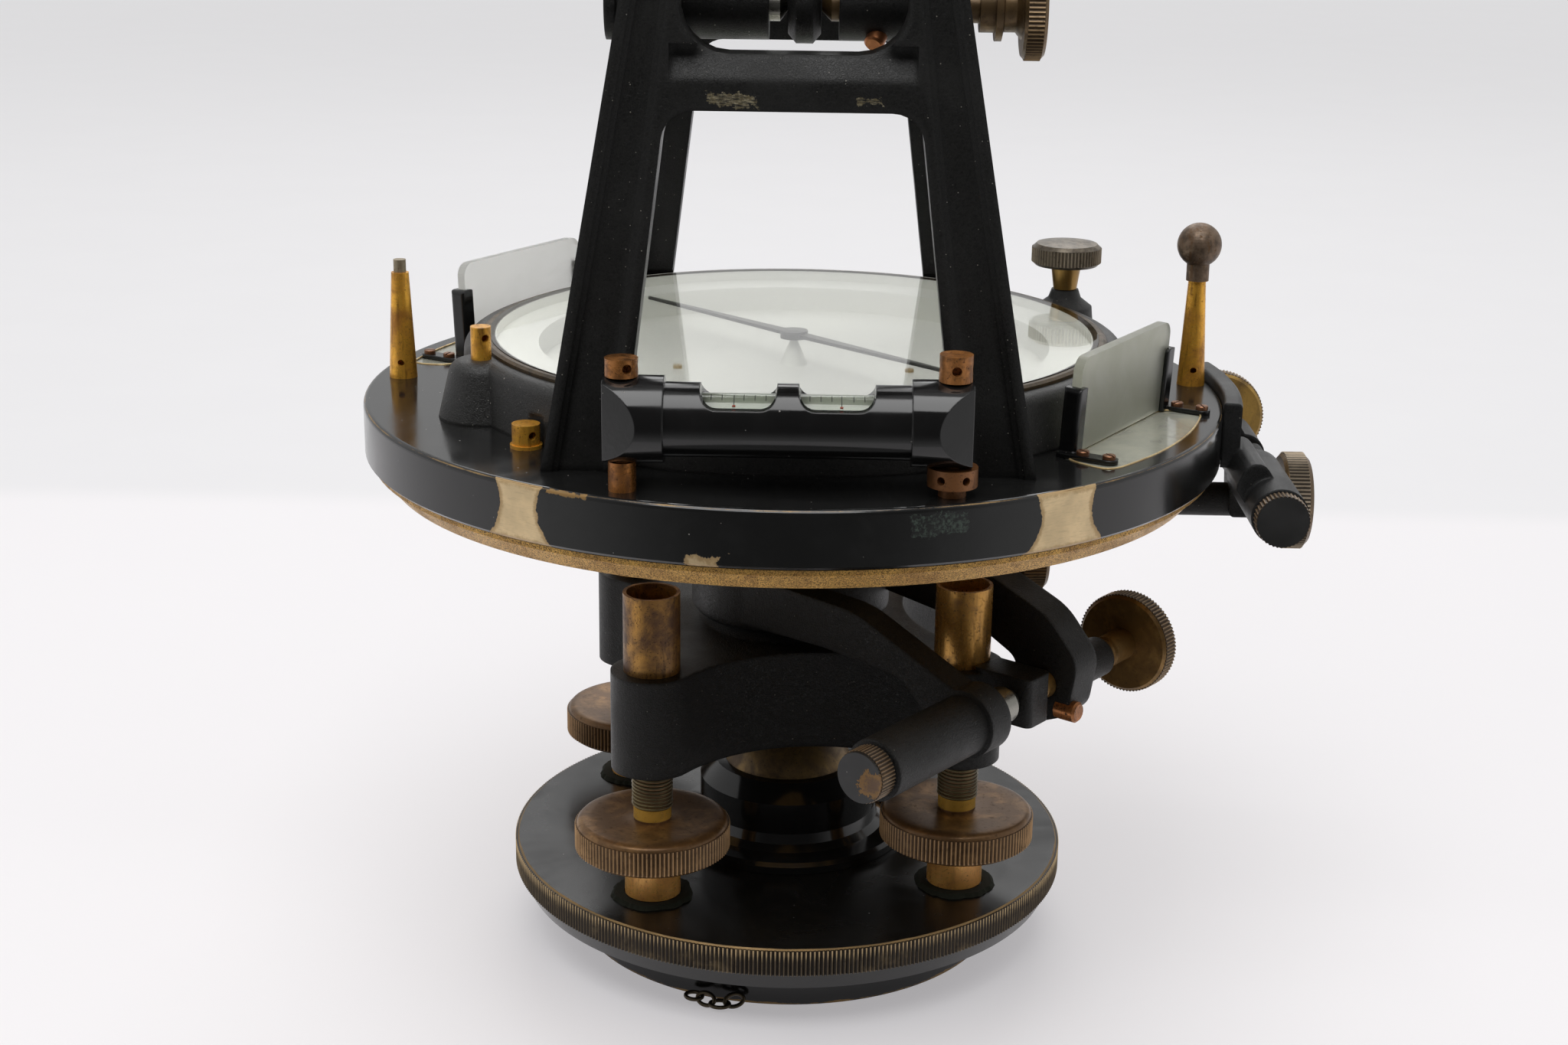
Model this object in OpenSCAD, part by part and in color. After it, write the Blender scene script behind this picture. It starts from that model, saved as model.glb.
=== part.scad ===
// Surveyors transit. A telescope turns on two A-frame standards over a compass box.
// The standards stand on a vernier plate over a graduated limb, both on nested vertical
// centres in a four-screw levelling head, which rests on a foot plate for a tripod.
// Millimetres, +Z up. The origin is on the vertical axis at the bottom of the tripod thread.
// +X is the eyepiece end of the telescope, and -Y is the side of the plate level.

/* [Foot plate] */
// Radius of the foot plate
foot_r = 62; // [60:0.1:66]
// Radius of the tripod thread
thread_r = 44.45; // [43:0.05:45]
// Length of the tripod thread
thread_len = 9.5; // [8:0.1:10]
// Outer radius of the threaded ring
ring_r = 48.1; // [47.5:0.1:50]
// Height of the foot plate's top face
foot_top = 20.2; // [19.5:0.1:22]
// Height of the knurled band
foot_knurl_h = 6.2; // [5:0.1:7]
// Height of the plate's lower edge
foot_edge_z = 10.4; // [10:0.1:12]
// Draw-in of the plate's lower edge
foot_taper = 2; // [1:0.1:3]
// Thickness of the web over the thread
foot_web = 6.7; // [5:0.1:6.8]

/* [Shifting centre] */
// Free travel of the shifting centre
shift_travel = 4; // [2:0.5:4.5]
// Radius of the ball socket
socket_r = 20; // [19:0.1:21]
// Height of the socket's mouth
socket_top = 37.5; // [37:0.1:39]
// Radius of the socket's foot flange
socket_flange_r = 27; // [26.5:0.1:28]
// Thickness of the socket's foot flange
socket_flange_h = 2.4; // [2:0.1:3]
// Radius of the neck that passes through the foot plate
socket_neck_r = 17.8; // [17.5:0.1:18.5]
// Radius of the shifting plate under the foot plate
shift_plate_r = 33; // [30:0.5:36]
// Thickness of the shifting plate
shift_plate_t = 2.8; // [2:0.1:3]
// Radius of the half ball
ball_r = 15.5; // [15:0.1:16]
// Height of the ball's centre
ball_z = 31.5; // [31:0.1:32]
// Depth of the half ball below its centre
ball_depth = 8; // [6:0.5:9]
// Radius of the ball's stem
stem_r = 9.5; // [9:0.1:10]

/* [Levelling head] */
// Distance of the levelling screws from the axis
arm_r = 46.65; // [45:0.05:48]
// Azimuth of the first arm in degrees
arm_az = -37.5; // [-45:0.5:-30]
// Radius of an arm's boss
boss_r = 8.7; // [8:0.1:9]
// Height of the arms' lower face
arm_z = 50.3; // [49:0.1:52]
// Height of the arms
arm_h = 21.6; // [20:0.1:22]
// Distance of the web from the axis between two arms
web_d = 26; // [23:0.5:28]
// Outer radius of the hub
hub_r = 17.5; // [17:0.1:19]
// Height of the hub's top face
hub_top = 79; // [78:0.1:79.5]
// Radius of the levelling screw's thread
lev_r = 4.5; // [4:0.1:4.8]
// Top of the levelling screw
lev_top = 80; // [78:0.5:82]
// Radius of the levelling screw's knurled head
lev_head_r = 16.2; // [14:0.1:16.5]
// Underside of the levelling screw's head
lev_head_z = 31.1; // [31:0.1:32]
// Thickness of the levelling screw's head
lev_head_t = 7.3; // [6:0.1:8]
// Outer radius of a dust cap
cap_r = 6; // [5.8:0.1:6.5]
// Wall of a dust cap
cap_wall = 0.7; // [0.5:0.1:0.8]
// Height of a dust cap over its boss
cap_h = 17.2; // [14:0.1:18]
// Radius of a levelling shoe
shoe_r = 6; // [5.8:0.1:6.5]
// Radius of the felt under a shoe
felt_r = 9; // [8:0.1:9.5]
// Thickness of the felt
felt_t = 0.8; // [0.5:0.1:1]

/* [Centres and limb] */
// Radius of the outer centre's shaft
outer_shaft_r = 11; // [10.5:0.1:12]
// Radius of the drum that both clamps grip
drum_r = 15; // [14.5:0.1:15.5]
// Radius of the inner centre
inner_shaft_r = 8; // [7.5:0.1:8.5]
// Underside of the limb
limb_z = 107.3; // [107:0.1:108]
// Outer radius of the limb
limb_r = 91; // [90:0.1:92]
// Height of the limb's edge
limb_edge_h = 4.9; // [4.5:0.1:5]
// Outer radius of the graduated ring
scale_r = 88.6; // [88:0.1:88.8]
// Width of the graduated ring
scale_w = 10.6; // [9:0.1:11]
// Height of the graduated ring's face
scale_z = 118.5; // [118:0.1:119]

/* [Vernier plate] */
// Radius of the vernier plate
plate_r = 92.34; // [92:0.01:94]
// Height of the vernier plate's top face
plate_z = 124.06; // [123.5:0.01:125]
// Thickness of the vernier plate
plate_t = 4.06; // [3.5:0.01:4.5]
// Underside of the vernier plate's rim
plate_rim_z = 112.6; // [112.5:0.1:113]
// Inner radius of the vernier plate's rim
plate_rim_in = 89.4; // [89.2:0.1:89.8]
// Outer radius of a vernier window
window_r = 87.8; // [86:0.1:88.5]
// Distance of a window's straight side from the axis
window_d = 73.9; // [73.5:0.1:76]
// First azimuth of the first window in degrees
window_az1 = -45.5; // [-47:0.5:-44]
// Last azimuth of the first window in degrees
window_az2 = -10.5; // [-12:0.5:-9]
// Azimuth that a reflector faces in degrees
reflector_az = -31; // [-33:0.5:-29]
// Distance of a reflector from the axis
reflector_d = 72.5; // [72.2:0.1:73]
// Sideways place of a reflector
reflector_shift = 6.3; // [4:0.1:7]
// Sideways place of the second reflector
reflector_shift2 = 0.2; // [-2:0.1:2]
// Rise of the second reflector
reflector_rise2 = 2.6; // [0:0.1:3]
// Length of a reflector
reflector_w = 42.8; // [40:0.1:44]
// Height of a reflector
reflector_h = 19.2; // [18:0.1:23]
// Thickness of a reflector
reflector_t = 2; // [1.5:0.1:2.5]
// Outward lean of a reflector in degrees
reflector_lean = 3; // [0:0.5:6]

/* [Compass] */
// Radius of the compass box at its foot
box_r = 71.5; // [71:0.1:71.8]
// Height of the compass box's shoulder
box_top = 136.1; // [135.5:0.1:137]
// Radius of the compass glass
glass_r = 65.4; // [65:0.1:66]
// Top face of the compass glass
glass_z = 137.26; // [137:0.01:138]
// Thickness of the compass glass
glass_t = 1.7; // [1.2:0.1:2]
// Width of the glass ring
glass_ring_w = 1.7; // [1.2:0.1:2]
// Length of the compass needle
needle_l = 98; // [90:0.5:104]
// Azimuth of the needle at rest in degrees
needle_az = -46; // [-60:1:-30]
// Height of the needle
needle_z = 134.2; // [134:0.1:134.4]
// Place of the needle lifter along X
lifter_x = 62.5; // [60:0.1:64]
// Place of the needle lifter along Y
lifter_y = 42.7; // [40:0.1:44]

/* [Standards] */
// Height of the telescope's axis
axis_z = 292; // [290:0.5:300]
// Outer face of a standard from the axis
std_y = 70; // [69:0.1:71]
// Depth of a standard
std_t = 10; // [9:0.1:11]
// Half width of a standard at the plate
std_w0 = 47; // [46:0.1:48]
// Half width of a standard at the bearing
std_w1 = 17.3; // [16.5:0.1:19]
// Half width of the opening at the plate
open_w0 = 32; // [31:0.1:33]
// Half width of the opening at the bearing
open_w1 = 10.7; // [10:0.1:11]
// Underside of the crossbar
bar_z = 192.5; // [190:0.5:194]
// Height of the crossbar
bar_h = 10; // [8:0.5:12]
// Top of the upper opening
open_top = 262; // [258:0.5:266]
// Corner radius of the openings
open_fillet = 6; // [4:0.5:8]
// Radius of the trunnion journals
journal_r = 6; // [5.5:0.1:7]

/* [Plate level] */
// Distance of the level's axis from the vertical axis
level_y = 80.7; // [80.5:0.1:82]
// Height of the level's axis
level_z = 137.7; // [137:0.1:139]
// Radius of the level's tube
level_r = 6.9; // [6.5:0.1:7.5]
// Half length of the level's tube between its end caps
level_tube_l = 23.2; // [22:0.1:25]
// Half length of the level over its end caps
level_l = 33.9; // [33:0.1:36]
// Radius of the level's end caps
level_cap_r = 8.05; // [7.5:0.05:8.5]
// Distance of a level stud from the middle
level_stud_x = 30.5; // [29:0.1:31]
// Radius of the glass vial
vial_r = 5; // [4.5:0.1:5.2]

/* [Lower tangent motion] */
// Distance of the lower tangent screw from the vertical axis
lt_rho = 62; // [61:0.5:64]
// Height of the lower tangent screw
lt_z = 68; // [67:0.5:69]
// Half thickness of the lug on the levelling arm
lt_lug = 4; // [3.5:0.1:4.5]
// Outer radius of the lower spring barrel
lt_barrel_r = 6.3; // [6:0.1:6.6]
// Far end of the lower spring barrel
lt_barrel_end = 52; // [45:0.5:54]
// Radius of the lower tangent screw's knob
lt_knob_r = 10.95; // [10:0.05:11.5]
// Distance of the lower tangent screw's knob from the lug
lt_knob_s = 40.5; // [38:0.5:43]
// Height of the lower clamp screw
lc_z = 86; // [85.5:0.1:86.2]
// Azimuth of the lower clamp screw in degrees
lc_az = 5; // [0:1:8]
// Radius of the lower clamp screw's knob
lc_knob_r = 8.5; // [7.5:0.1:8.6]

/* [Upper tangent motion] */
// Distance of the upper tangent screw from the vertical axis
ut_x = 100; // [99.5:0.1:101]
// Height of the upper tangent screw
ut_z = 108; // [107.5:0.1:108.5]
// Far end of the upper spring barrel
ut_barrel_end = 38.5; // [36:0.5:40]
// Outer radius of the upper spring barrel
ut_barrel_r = 5.9; // [5.6:0.1:6.2]
// Radius of the upper tangent screw's knob
ut_knob_r = 10.5; // [9:0.1:11]
// Distance of the upper tangent screw's knob from the arm
ut_knob_y = 41.5; // [40:0.5:44]
// Height of the upper clamp arm
uc_z = 100.3; // [100:0.1:100.5]
// Radius of the upper clamp arm's tube
uc_tube_r = 3.7; // [3.4:0.1:4]
// Radius of the upper clamp screw's knob
uc_knob_r = 10.3; // [9:0.1:10.5]

/* [Vertical tangent motion] */
// Distance of the vertical tangent screw from the vertical axis
vt_y = 45; // [44:0.1:46]
// Height of the vertical tangent screw
vt_z = 209.5; // [209:0.1:212]
// Outer radius of the vertical spring barrel
vt_barrel_r = 6.6; // [6:0.1:7]
// Place of the clamp arm's lug along the screw
vt_lug_x = 1.7; // [0:0.1:2]
// Radius of the vertical tangent screw's knob
vt_knob_r = 9.5; // [8:0.1:10]

/* [Telescope] */
// Outer radius of the telescope's tube
tube_r = 15.5; // [15:0.1:16.5]
// Bore of the telescope's tube
tube_bore = 14.35; // [14:0.05:14.5]
// Reach of the telescope's tube towards the objective
tube_front = 100; // [96:0.5:102]
// Reach of the telescope's body towards the eyepiece
tube_back = 104; // [100:0.5:104]
// Reach of the objective cell
cell_front = 128; // [126:0.5:130]
// Radius of the objective cell
cell_r = 17; // [16.5:0.1:18]
// Radius of the vertical circle
circle_r = 63.5; // [60:0.5:66]
// Distance of the vertical circle from the telescope's line
circle_y = 44; // [43:0.1:45]
// Distance of the telescope level's axis under the tube's axis
tlevel_d = 27; // [26:0.5:29]
// Half length of the telescope level
tlevel_l = 62; // [58:0.5:66]

/* [Hidden] */
$fn = 96;

// Running clearance of a shaft in its bore
run = 0.05;
// Gap between two faces that pass each other
gap = 0.3;
// Gap at the tips that bear on a lug
touch = 0.15;
// Colours
lacquer = [0.07, 0.07, 0.08];
crinkle = [0.13, 0.13, 0.13];
brass = [0.72, 0.53, 0.25];
bronze = [0.4, 0.3, 0.2];
silver = [0.8, 0.8, 0.78];
clear = [0.8, 0.88, 0.84, 0.5];

lev_az = [for (i = [0 : 3]) arm_az + 90 * i];
arm_top = arm_z + arm_h;
shoe_z = foot_top + run + felt_t;
shoe_floor = shoe_z + 1.9;
tip_r = 3.4;
lev_z = shoe_floor + 0.3;
web_a = arm_r * sin(45);
web_r = ((web_d - web_a) * (web_d - web_a) + web_a * web_a - boss_r * boss_r)
    / (2 * (boss_r - web_d + web_a));
stem_top = arm_z + 9.2;
lower_collar_z = hub_top + 1;
lower_collar_h = 13;
upper_collar_z = lower_collar_z + lower_collar_h + 2.5;
upper_collar_h = 8.4;
collar_r = 22;
plate_under = plate_z - plate_t;
limb_top = limb_z + 4.5;
axle_r = 9;
arm_y = vt_y;
vt_lug_w = 3.1;
post_left = [-85.8, 4];
post_right = [87.65, 9];
capstan_a = [-51.8, -52.4];
capstan_b = [-63.7, -28.9];
box_lug = [-63.3, -28.5];
screw_r = 3;
plunger_r = 3.1;
lc_rod_r = 2.2;
uc_rod_r = 1.6;

// Half width of a standard's outline and of its opening at height z
function std_half(z) = std_w0 + (std_w1 - std_w0) * (z - plate_z) / (axis_z - plate_z);
function open_half(z) = open_w0 + (open_w1 - open_w0) * (z - plate_z) / (axis_z - plate_z);

// Points of a polygon whose corners [x, y, radius] are rounded by arcs of n steps
function corner(a, b, c, n) =
    let (u = [a[0] - b[0], a[1] - b[1]], v = [c[0] - b[0], c[1] - b[1]],
        un = u / norm(u), vn = v / norm(v),
        half = acos(un * vn) / 2,
        reach = b[2] / tan(half),
        bis = (un + vn) / norm(un + vn),
        mid = [b[0], b[1]] + bis * (b[2] / sin(half)),
        start = [b[0], b[1]] + un * reach,
        end = [b[0], b[1]] + vn * reach,
        a0 = atan2(start[1] - mid[1], start[0] - mid[0]),
        a1 = atan2(end[1] - mid[1], end[0] - mid[0]),
        turn = (a1 - a0 > 180) ? a1 - a0 - 360 : (a1 - a0 < -180) ? a1 - a0 + 360 : a1 - a0)
    b[2] == 0 ? [[b[0], b[1]]]
        : [for (i = [0 : n]) mid + b[2] * [cos(a0 + turn * i / n), sin(a0 + turn * i / n)]];
function rounded(p, n = 6) =
    [for (i = [0 : len(p) - 1])
        each corner(p[(i + len(p) - 1) % len(p)], p[i], p[(i + 1) % len(p)], n)];

module ring(r_out, r_in, h) {
    difference() {
        cylinder(r = r_out, h = h);
        translate([0, 0, -1]) cylinder(r = r_in, h = h + 2);
    }
}

// A rod along +X from x0 to x1
module rod_x(r, x0, x1) {
    translate([x0, 0, 0]) rotate([0, 90, 0]) cylinder(r = r, h = x1 - x0);
}

// A rod along +Y from y0 to y1
module rod_y(r, y0, y1) {
    translate([0, y1, 0]) rotate([90, 0, 0]) cylinder(r = r, h = y1 - y0);
}

// A solid of revolution about the X axis from points [x, radius]
module turned_x(p) {
    rotate([0, 90, 0]) rotate_extrude() polygon([for (q = p) [q[1], q[0]]]);
}

// Places children in the frame of the lower tangent motion: X out along the arm, Y along the screw
module at_arm() {
    rotate([0, 0, arm_az]) children();
}

module foot_plate() {
    hole = socket_neck_r + shift_travel + 0.4;
    rim = foot_top - foot_knurl_h;
    color(lacquer) rotate_extrude() polygon([
        [thread_r, 0], [ring_r, 0], [ring_r, foot_edge_z], [foot_r - foot_taper, foot_edge_z],
        [foot_r - 0.3, rim], [foot_r, rim + 0.3], [foot_r, foot_top - 0.5],
        [foot_r - 0.5, foot_top], [hole, foot_top], [hole, foot_top - foot_web],
        [thread_r - 1.5, foot_top - foot_web], [thread_r - 1.5, thread_len],
        [thread_r, thread_len]]);
}

// One oval chain link lying flat, its long axis along X
module chain_link(l, w, t) {
    for (s = [-1, 1]) {
        translate([s * (l - w) / 2, 0, 0]) rotate([0, 0, s * 90 - 180])
            rotate_extrude(angle = 180) translate([(w - t) / 2, 0]) circle(d = t, $fn = 24);
        translate([0, s * (w - t) / 2, 0]) rotate([0, 90, 0])
            cylinder(d = t, h = l - w, center = true, $fn = 24);
    }
}

module plumb_chain() {
    wire = 0.9;
    link_l = 5;
    link_w = 3.5;
    // Each link: place on the floor, turn about Z, tilt about its long axis
    links = [[-18.9, -47.4, -20, 0], [-16.0, -49.4, -38, 58], [-13.1, -50.4, 4, 6],
        [-10.2, -49.6, 36, 62]];
    color(bronze) for (k = links)
        translate([k[0], k[1], wire / 2 + (link_w - wire) / 2 * sin(k[3])])
            rotate([0, 0, k[2]]) rotate([k[3], 0, 0]) chain_link(link_l, link_w, wire);
}

module shifting_plate() {
    top = foot_top - foot_web - 0.1;
    color(lacquer) translate([0, 0, top - shift_plate_t]) difference() {
        cylinder(r = shift_plate_r, h = shift_plate_t);
        translate([0, 0, -1]) cylinder(r = 6, h = shift_plate_t + 2);
    }
}

module ball_socket() {
    seat = foot_top - foot_web - 0.1;
    base = foot_top + 0.1;
    mouth = sqrt((ball_r + run) * (ball_r + run) - (socket_top - ball_z) * (socket_top - ball_z));
    color(lacquer) difference() {
        rotate_extrude() polygon([
            [6, seat], [socket_neck_r, seat], [socket_neck_r, base], [socket_flange_r, base],
            [socket_flange_r, base + socket_flange_h - 0.8],
            [socket_flange_r - 0.8, base + socket_flange_h],
            [socket_r + 2.2, base + socket_flange_h + 0.5], [socket_r + 0.6, base + socket_flange_h + 1.8],
            [socket_r, base + socket_flange_h + 4], [socket_r, socket_top - 3.8],
            [mouth + 2.2, socket_top], [6, socket_top]]);
        translate([0, 0, ball_z]) sphere(r = ball_r + run);
        translate([0, 0, seat + 1.5]) cylinder(r = ball_r + run, h = ball_z - seat - 1.5);
        translate([0, 0, ball_z]) cylinder(r = mouth, h = 20);
    }
}

module levelling_shoes() {
    color(brass) for (a = lev_az) rotate([0, 0, a]) translate([arm_r, 0, shoe_z])
        rotate_extrude() polygon([
            [0, 0], [shoe_r, 0], [shoe_r, 8.8], [shoe_r - 0.6, 9.5], [4.7, 9.5],
            [4.7, 3.2], [3.6, 1.9], [0, 1.9]]);
}

module shoe_felts() {
    color([0.06, 0.2, 0.12]) for (a = lev_az) rotate([0, 0, a])
        translate([arm_r, 0, foot_top + run]) cylinder(r = felt_r, h = felt_t);
}

module half_ball() {
    low = ball_z - ball_depth;
    color(brass) {
        intersection() {
            translate([0, 0, ball_z]) sphere(r = ball_r);
            translate([0, 0, low]) cylinder(r = ball_r + 1, h = 2 * ball_r);
        }
        translate([0, 0, ball_z]) cylinder(r = stem_r, h = stem_top - ball_z);
        // Plumb-bob hook: a shank and an open hook below the ball
        translate([0, 0, low - 3.2]) cylinder(r = 1.5, h = 3.4);
        translate([0, 0, low - 6.2]) rotate([90, 0, 0]) rotate([0, 0, -150])
            rotate_extrude(angle = 240) translate([3.2, 0]) circle(r = 0.9, $fn = 24);
    }
}

module levelling_head() {
    web_c = web_r + web_d;
    color(crinkle) difference() {
        union() {
            translate([0, 0, arm_z]) linear_extrude(height = arm_h) union() {
                difference() {
                    rotate([0, 0, arm_az]) polygon([for (i = [0 : 3], s = [-1, 1])
                        let (to = web_c * [cos(90 * i + 45 * s), sin(90 * i + 45 * s)]
                                - arm_r * [cos(90 * i), sin(90 * i)])
                        arm_r * [cos(90 * i), sin(90 * i)] + (boss_r - 0.25) / norm(to) * to]);
                    for (a = lev_az) rotate([0, 0, a + 45]) translate([web_c, 0]) circle(r = web_r);
                }
                for (a = lev_az) rotate([0, 0, a]) translate([arm_r, 0]) circle(r = boss_r);
            }
            rotate_extrude() polygon([
                [0, arm_z], [hub_r + 3, arm_z], [hub_r + 3, arm_top], [hub_r + 1, arm_top + 1.5],
                [hub_r, arm_top + 4], [hub_r, hub_top], [0, hub_top]]);
            at_arm() translate([0, 0, lt_z - 5.5]) linear_extrude(height = 10.6)
                polygon(rounded([[arm_r + cap_r + 0.2, -lt_lug, 0], [lt_rho + 4.5, -lt_lug, 1.5],
                    [lt_rho + 4.5, lt_lug, 1.5], [arm_r + cap_r + 0.2, lt_lug, 0]]));
        }
        cylinder(r = outer_shaft_r + run, h = 120);
        for (a = lev_az) rotate([0, 0, a]) translate([arm_r, 0, 0]) cylinder(r = lev_r + run, h = 100);
    }
}

module screw_caps() {
    color(brass) for (a = lev_az) rotate([0, 0, a]) translate([arm_r, 0, arm_top])
        ring(cap_r, cap_r - cap_wall, cap_h);
}

module level_screw(i) {
    dish = 1.2;
    top = lev_head_z + lev_head_t;
    color(bronze) rotate([0, 0, lev_az[i]]) translate([arm_r, 0, 0]) {
        rotate_extrude() polygon([
            [0, lev_z + tip_r], [2.6, lev_z + tip_r], [2.6, lev_head_z],
            [lev_head_r - 0.8, lev_head_z], [lev_head_r, lev_head_z + 0.8],
            [lev_head_r, top - 1.2], [lev_head_r - 0.35, top - 0.35], [lev_head_r - 1.2, top],
            [lev_head_r - 3, top], [7.5, top - dish], [5, top - dish], [4.1, top - 0.3],
            [4.1, top + 2.4], [lev_r, top + 2.8], [lev_r, lev_top - 1], [lev_r - 1, lev_top],
            [0, lev_top]]);
        translate([0, 0, lev_z + tip_r]) sphere(r = tip_r, $fn = 48);
    }
}
module level_screw_1() { level_screw(0); }
module level_screw_2() { level_screw(1); }
module level_screw_3() { level_screw(2); }
module level_screw_4() { level_screw(3); }

module outer_centre() {
    low = stem_top + 0.8;
    flange_z = limb_z - 2.6;
    color(brass) rotate_extrude() polygon([
        [inner_shaft_r + run, low], [outer_shaft_r, low], [outer_shaft_r, hub_top + gap],
        [drum_r, hub_top + gap], [drum_r, flange_z], [collar_r + 3, flange_z],
        [collar_r + 3, limb_z], [drum_r, limb_z], [drum_r, limb_top - 0.2],
        [inner_shaft_r + run, limb_top - 0.2]]);
}

module limb_circle() {
    step_z = limb_z + 3.9;
    scale_in = scale_r - scale_w - 0.4;
    seat = scale_z - 0.6;
    color(brass) rotate_extrude() polygon([
        [drum_r, limb_z], [limb_r - 4.4, limb_z], [limb_r - 3.6, limb_z + 0.3],
        [limb_r - 0.8, step_z - 0.3], [limb_r - 0.8, step_z], [limb_r, step_z + 0.1],
        [limb_r, limb_z + limb_edge_h], [scale_r + 0.2, limb_z + limb_edge_h],
        [scale_r + 0.2, seat], [scale_in, seat], [scale_in, limb_z + 7.7],
        [scale_in - 7, limb_z + 7.7], [scale_in - 7, limb_top], [drum_r, limb_top]]);
}

module limb_scale() {
    color(silver) translate([0, 0, scale_z - 0.6]) ring(scale_r, scale_r - scale_w, 0.6);
}

// The near branch of the fork carries the spring barrel, and the far one the tangent screw
module lower_clamp_fork() {
    barrel_open = lt_lug + 11;
    near_s = [-21.7, -15];
    skirt_z = 74;
    far_s = [lt_lug + 4.5, lt_lug + 13];
    color(crinkle) difference() {
        union() {
            rotate_extrude() polygon(rounded([[hub_r + 2.1, skirt_z, 0], [collar_r, skirt_z, 2],
                [collar_r, lower_collar_z + lower_collar_h, 0.6],
                [drum_r, lower_collar_z + lower_collar_h, 0], [drum_r, lower_collar_z, 0],
                [hub_r + 2.1, lower_collar_z, 0]]));
            rotate([0, 0, lc_az]) translate([0, 0, lc_z]) rod_x(4.8, collar_r - 3, 48);
            at_arm() {
                translate([0, near_s[1], 0]) rotate([90, 0, 0])
                    linear_extrude(height = near_s[1] - near_s[0])
                    polygon(rounded([[-1, skirt_z + 2, 0], [-1, lower_collar_z + 7.6, 0],
                        [34, lower_collar_z + 5.6, 24], [lt_rho - 5, lower_collar_z - 4.2, 20],
                        [lt_rho + 5.6, lt_z + 3.6, 3], [lt_rho + 4, lt_z - 5.6, 3],
                        [lt_rho - 6.6, lt_z - 3, 5], [46, arm_top + 2.4, 8], [26, skirt_z + 2, 0]]));
                translate([0, far_s[1], 0]) rotate([90, 0, 0])
                    linear_extrude(height = far_s[1] - far_s[0])
                    polygon(rounded([[14, lower_collar_z + 0.5, 0], [14, lower_collar_z + 12.5, 0],
                        [42, lower_collar_z + 11, 14], [62, lower_collar_z + 3, 14],
                        [lt_rho + 8, lt_z + 6, 6], [lt_rho + 6, lt_z - 6, 5],
                        [lt_rho - 1, lt_z - 9, 3], [lt_rho - 7, lt_z - 5, 4],
                        [lt_rho - 7, lt_z + 4, 4], [46, arm_top + 4.6, 12]]));
                translate([lt_rho, 0, lt_z]) {
                    rod_y(lt_barrel_r, -lt_barrel_end, -barrel_open);
                    rod_y(lt_barrel_r + 0.9, near_s[0], near_s[1]);
                    rod_y(4.4, far_s[1] - 1, 30);
                }
            }
        }
        translate([0, 0, lower_collar_z - 1]) cylinder(r = drum_r + run, h = lower_collar_h + 2);
        translate([0, 0, skirt_z - 1]) cylinder(r = hub_r + 2.1, h = lower_collar_z + 1 - skirt_z);
        rotate([0, 0, lc_az]) translate([0, 0, lc_z]) rod_x(lc_rod_r + run, 10, 60);
        at_arm() translate([lt_rho, 0, lt_z]) {
            rod_y(plunger_r + 0.8 + run, -lt_barrel_end + 2, -5);
            rod_y(screw_r + run, 5, 40);
        }
    }
}

module lower_spring_cap() {
    color(lacquer) at_arm() translate([lt_rho, 0, lt_z]) rod_y(5.1, -lt_barrel_end - 5, -lt_barrel_end);
}

module lower_clamp_screw() {
    color(bronze) rotate([0, 0, lc_az]) translate([0, 0, lc_z]) turned_x([
        [drum_r + 0.4, 0], [drum_r + 0.4, lc_rod_r], [48.4, lc_rod_r], [49.4, 3.6], [50.4, 3.6],
        [50.4, lc_knob_r - 0.8], [51.2, lc_knob_r], [56.2, lc_knob_r], [57, lc_knob_r - 0.8],
        [57, 0]]);
}

module lower_tangent_screw() {
    k = lt_knob_s;
    color(bronze) at_arm() translate([lt_rho, 0, lt_z]) rotate([0, 0, 90]) turned_x([
        [lt_lug + touch, 0], [lt_lug + touch, 1.2], [lt_lug + 2, screw_r], [33, screw_r], [33.3, 3.5],
        [k, 3.5], [k, lt_knob_r - 0.6], [k + 0.6, lt_knob_r], [k + 4.4, lt_knob_r],
        [k + 5, lt_knob_r - 0.6], [k + 5, 2.5], [k + 4.2, 2], [k + 4.2, 0]]);
}

module lower_plunger() {
    thick = plunger_r + 0.8;
    color(brass) at_arm() translate([lt_rho, 0, lt_z]) rotate([0, 0, 90]) turned_x([
        [-34, 0], [-34, thick], [-lt_lug - 3.2, thick], [-lt_lug - 0.6, 2.4], [-lt_lug - touch, 1.2],
        [-lt_lug - touch, 0]]);
}

// Plan of the first vernier window, drawn in by d all round
module window_plan(d) {
    big = 200;
    intersection() {
        circle(r = window_r - d);
        rotate([0, 0, reflector_az]) translate([window_d + d, -big / 2]) square([big, big]);
        rotate([0, 0, window_az1]) translate([0, d]) square([big, big]);
        rotate([0, 0, window_az2]) translate([0, -big - d]) square([big, big]);
    }
}

module vernier_plate() {
    color(lacquer) difference() {
        rotate_extrude() polygon(rounded([
            [12, plate_under, 0], [plate_rim_in, plate_under, 0], [plate_rim_in, plate_rim_z, 0],
            [plate_r - 0.6, plate_rim_z, 0], [plate_r, plate_rim_z + 0.6, 0],
            [plate_r, plate_z, 1], [12, plate_z, 0]]));
        for (a = [0, 180]) rotate([0, 0, a]) {
            translate([0, 0, plate_under - 1]) linear_extrude(height = plate_t + 2) window_plan(1);
            translate([0, 0, plate_z - 1.6]) linear_extrude(height = 3) window_plan(0);
        }
    }
}

module vernier_windows() {
    color(clear) for (a = [0, 180]) rotate([0, 0, a]) translate([0, 0, plate_z - 1.6])
        linear_extrude(height = 1.4) window_plan(0.1);
}

module inner_centre() {
    low = stem_top + 1.2;
    color(brass) rotate_extrude() polygon([
        [0, low], [inner_shaft_r, low], [inner_shaft_r, limb_top + gap], [26, limb_top + gap],
        [30, limb_top + 2], [30, plate_under], [12, plate_under], [12, plate_z], [0, plate_z]]);
}

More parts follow.
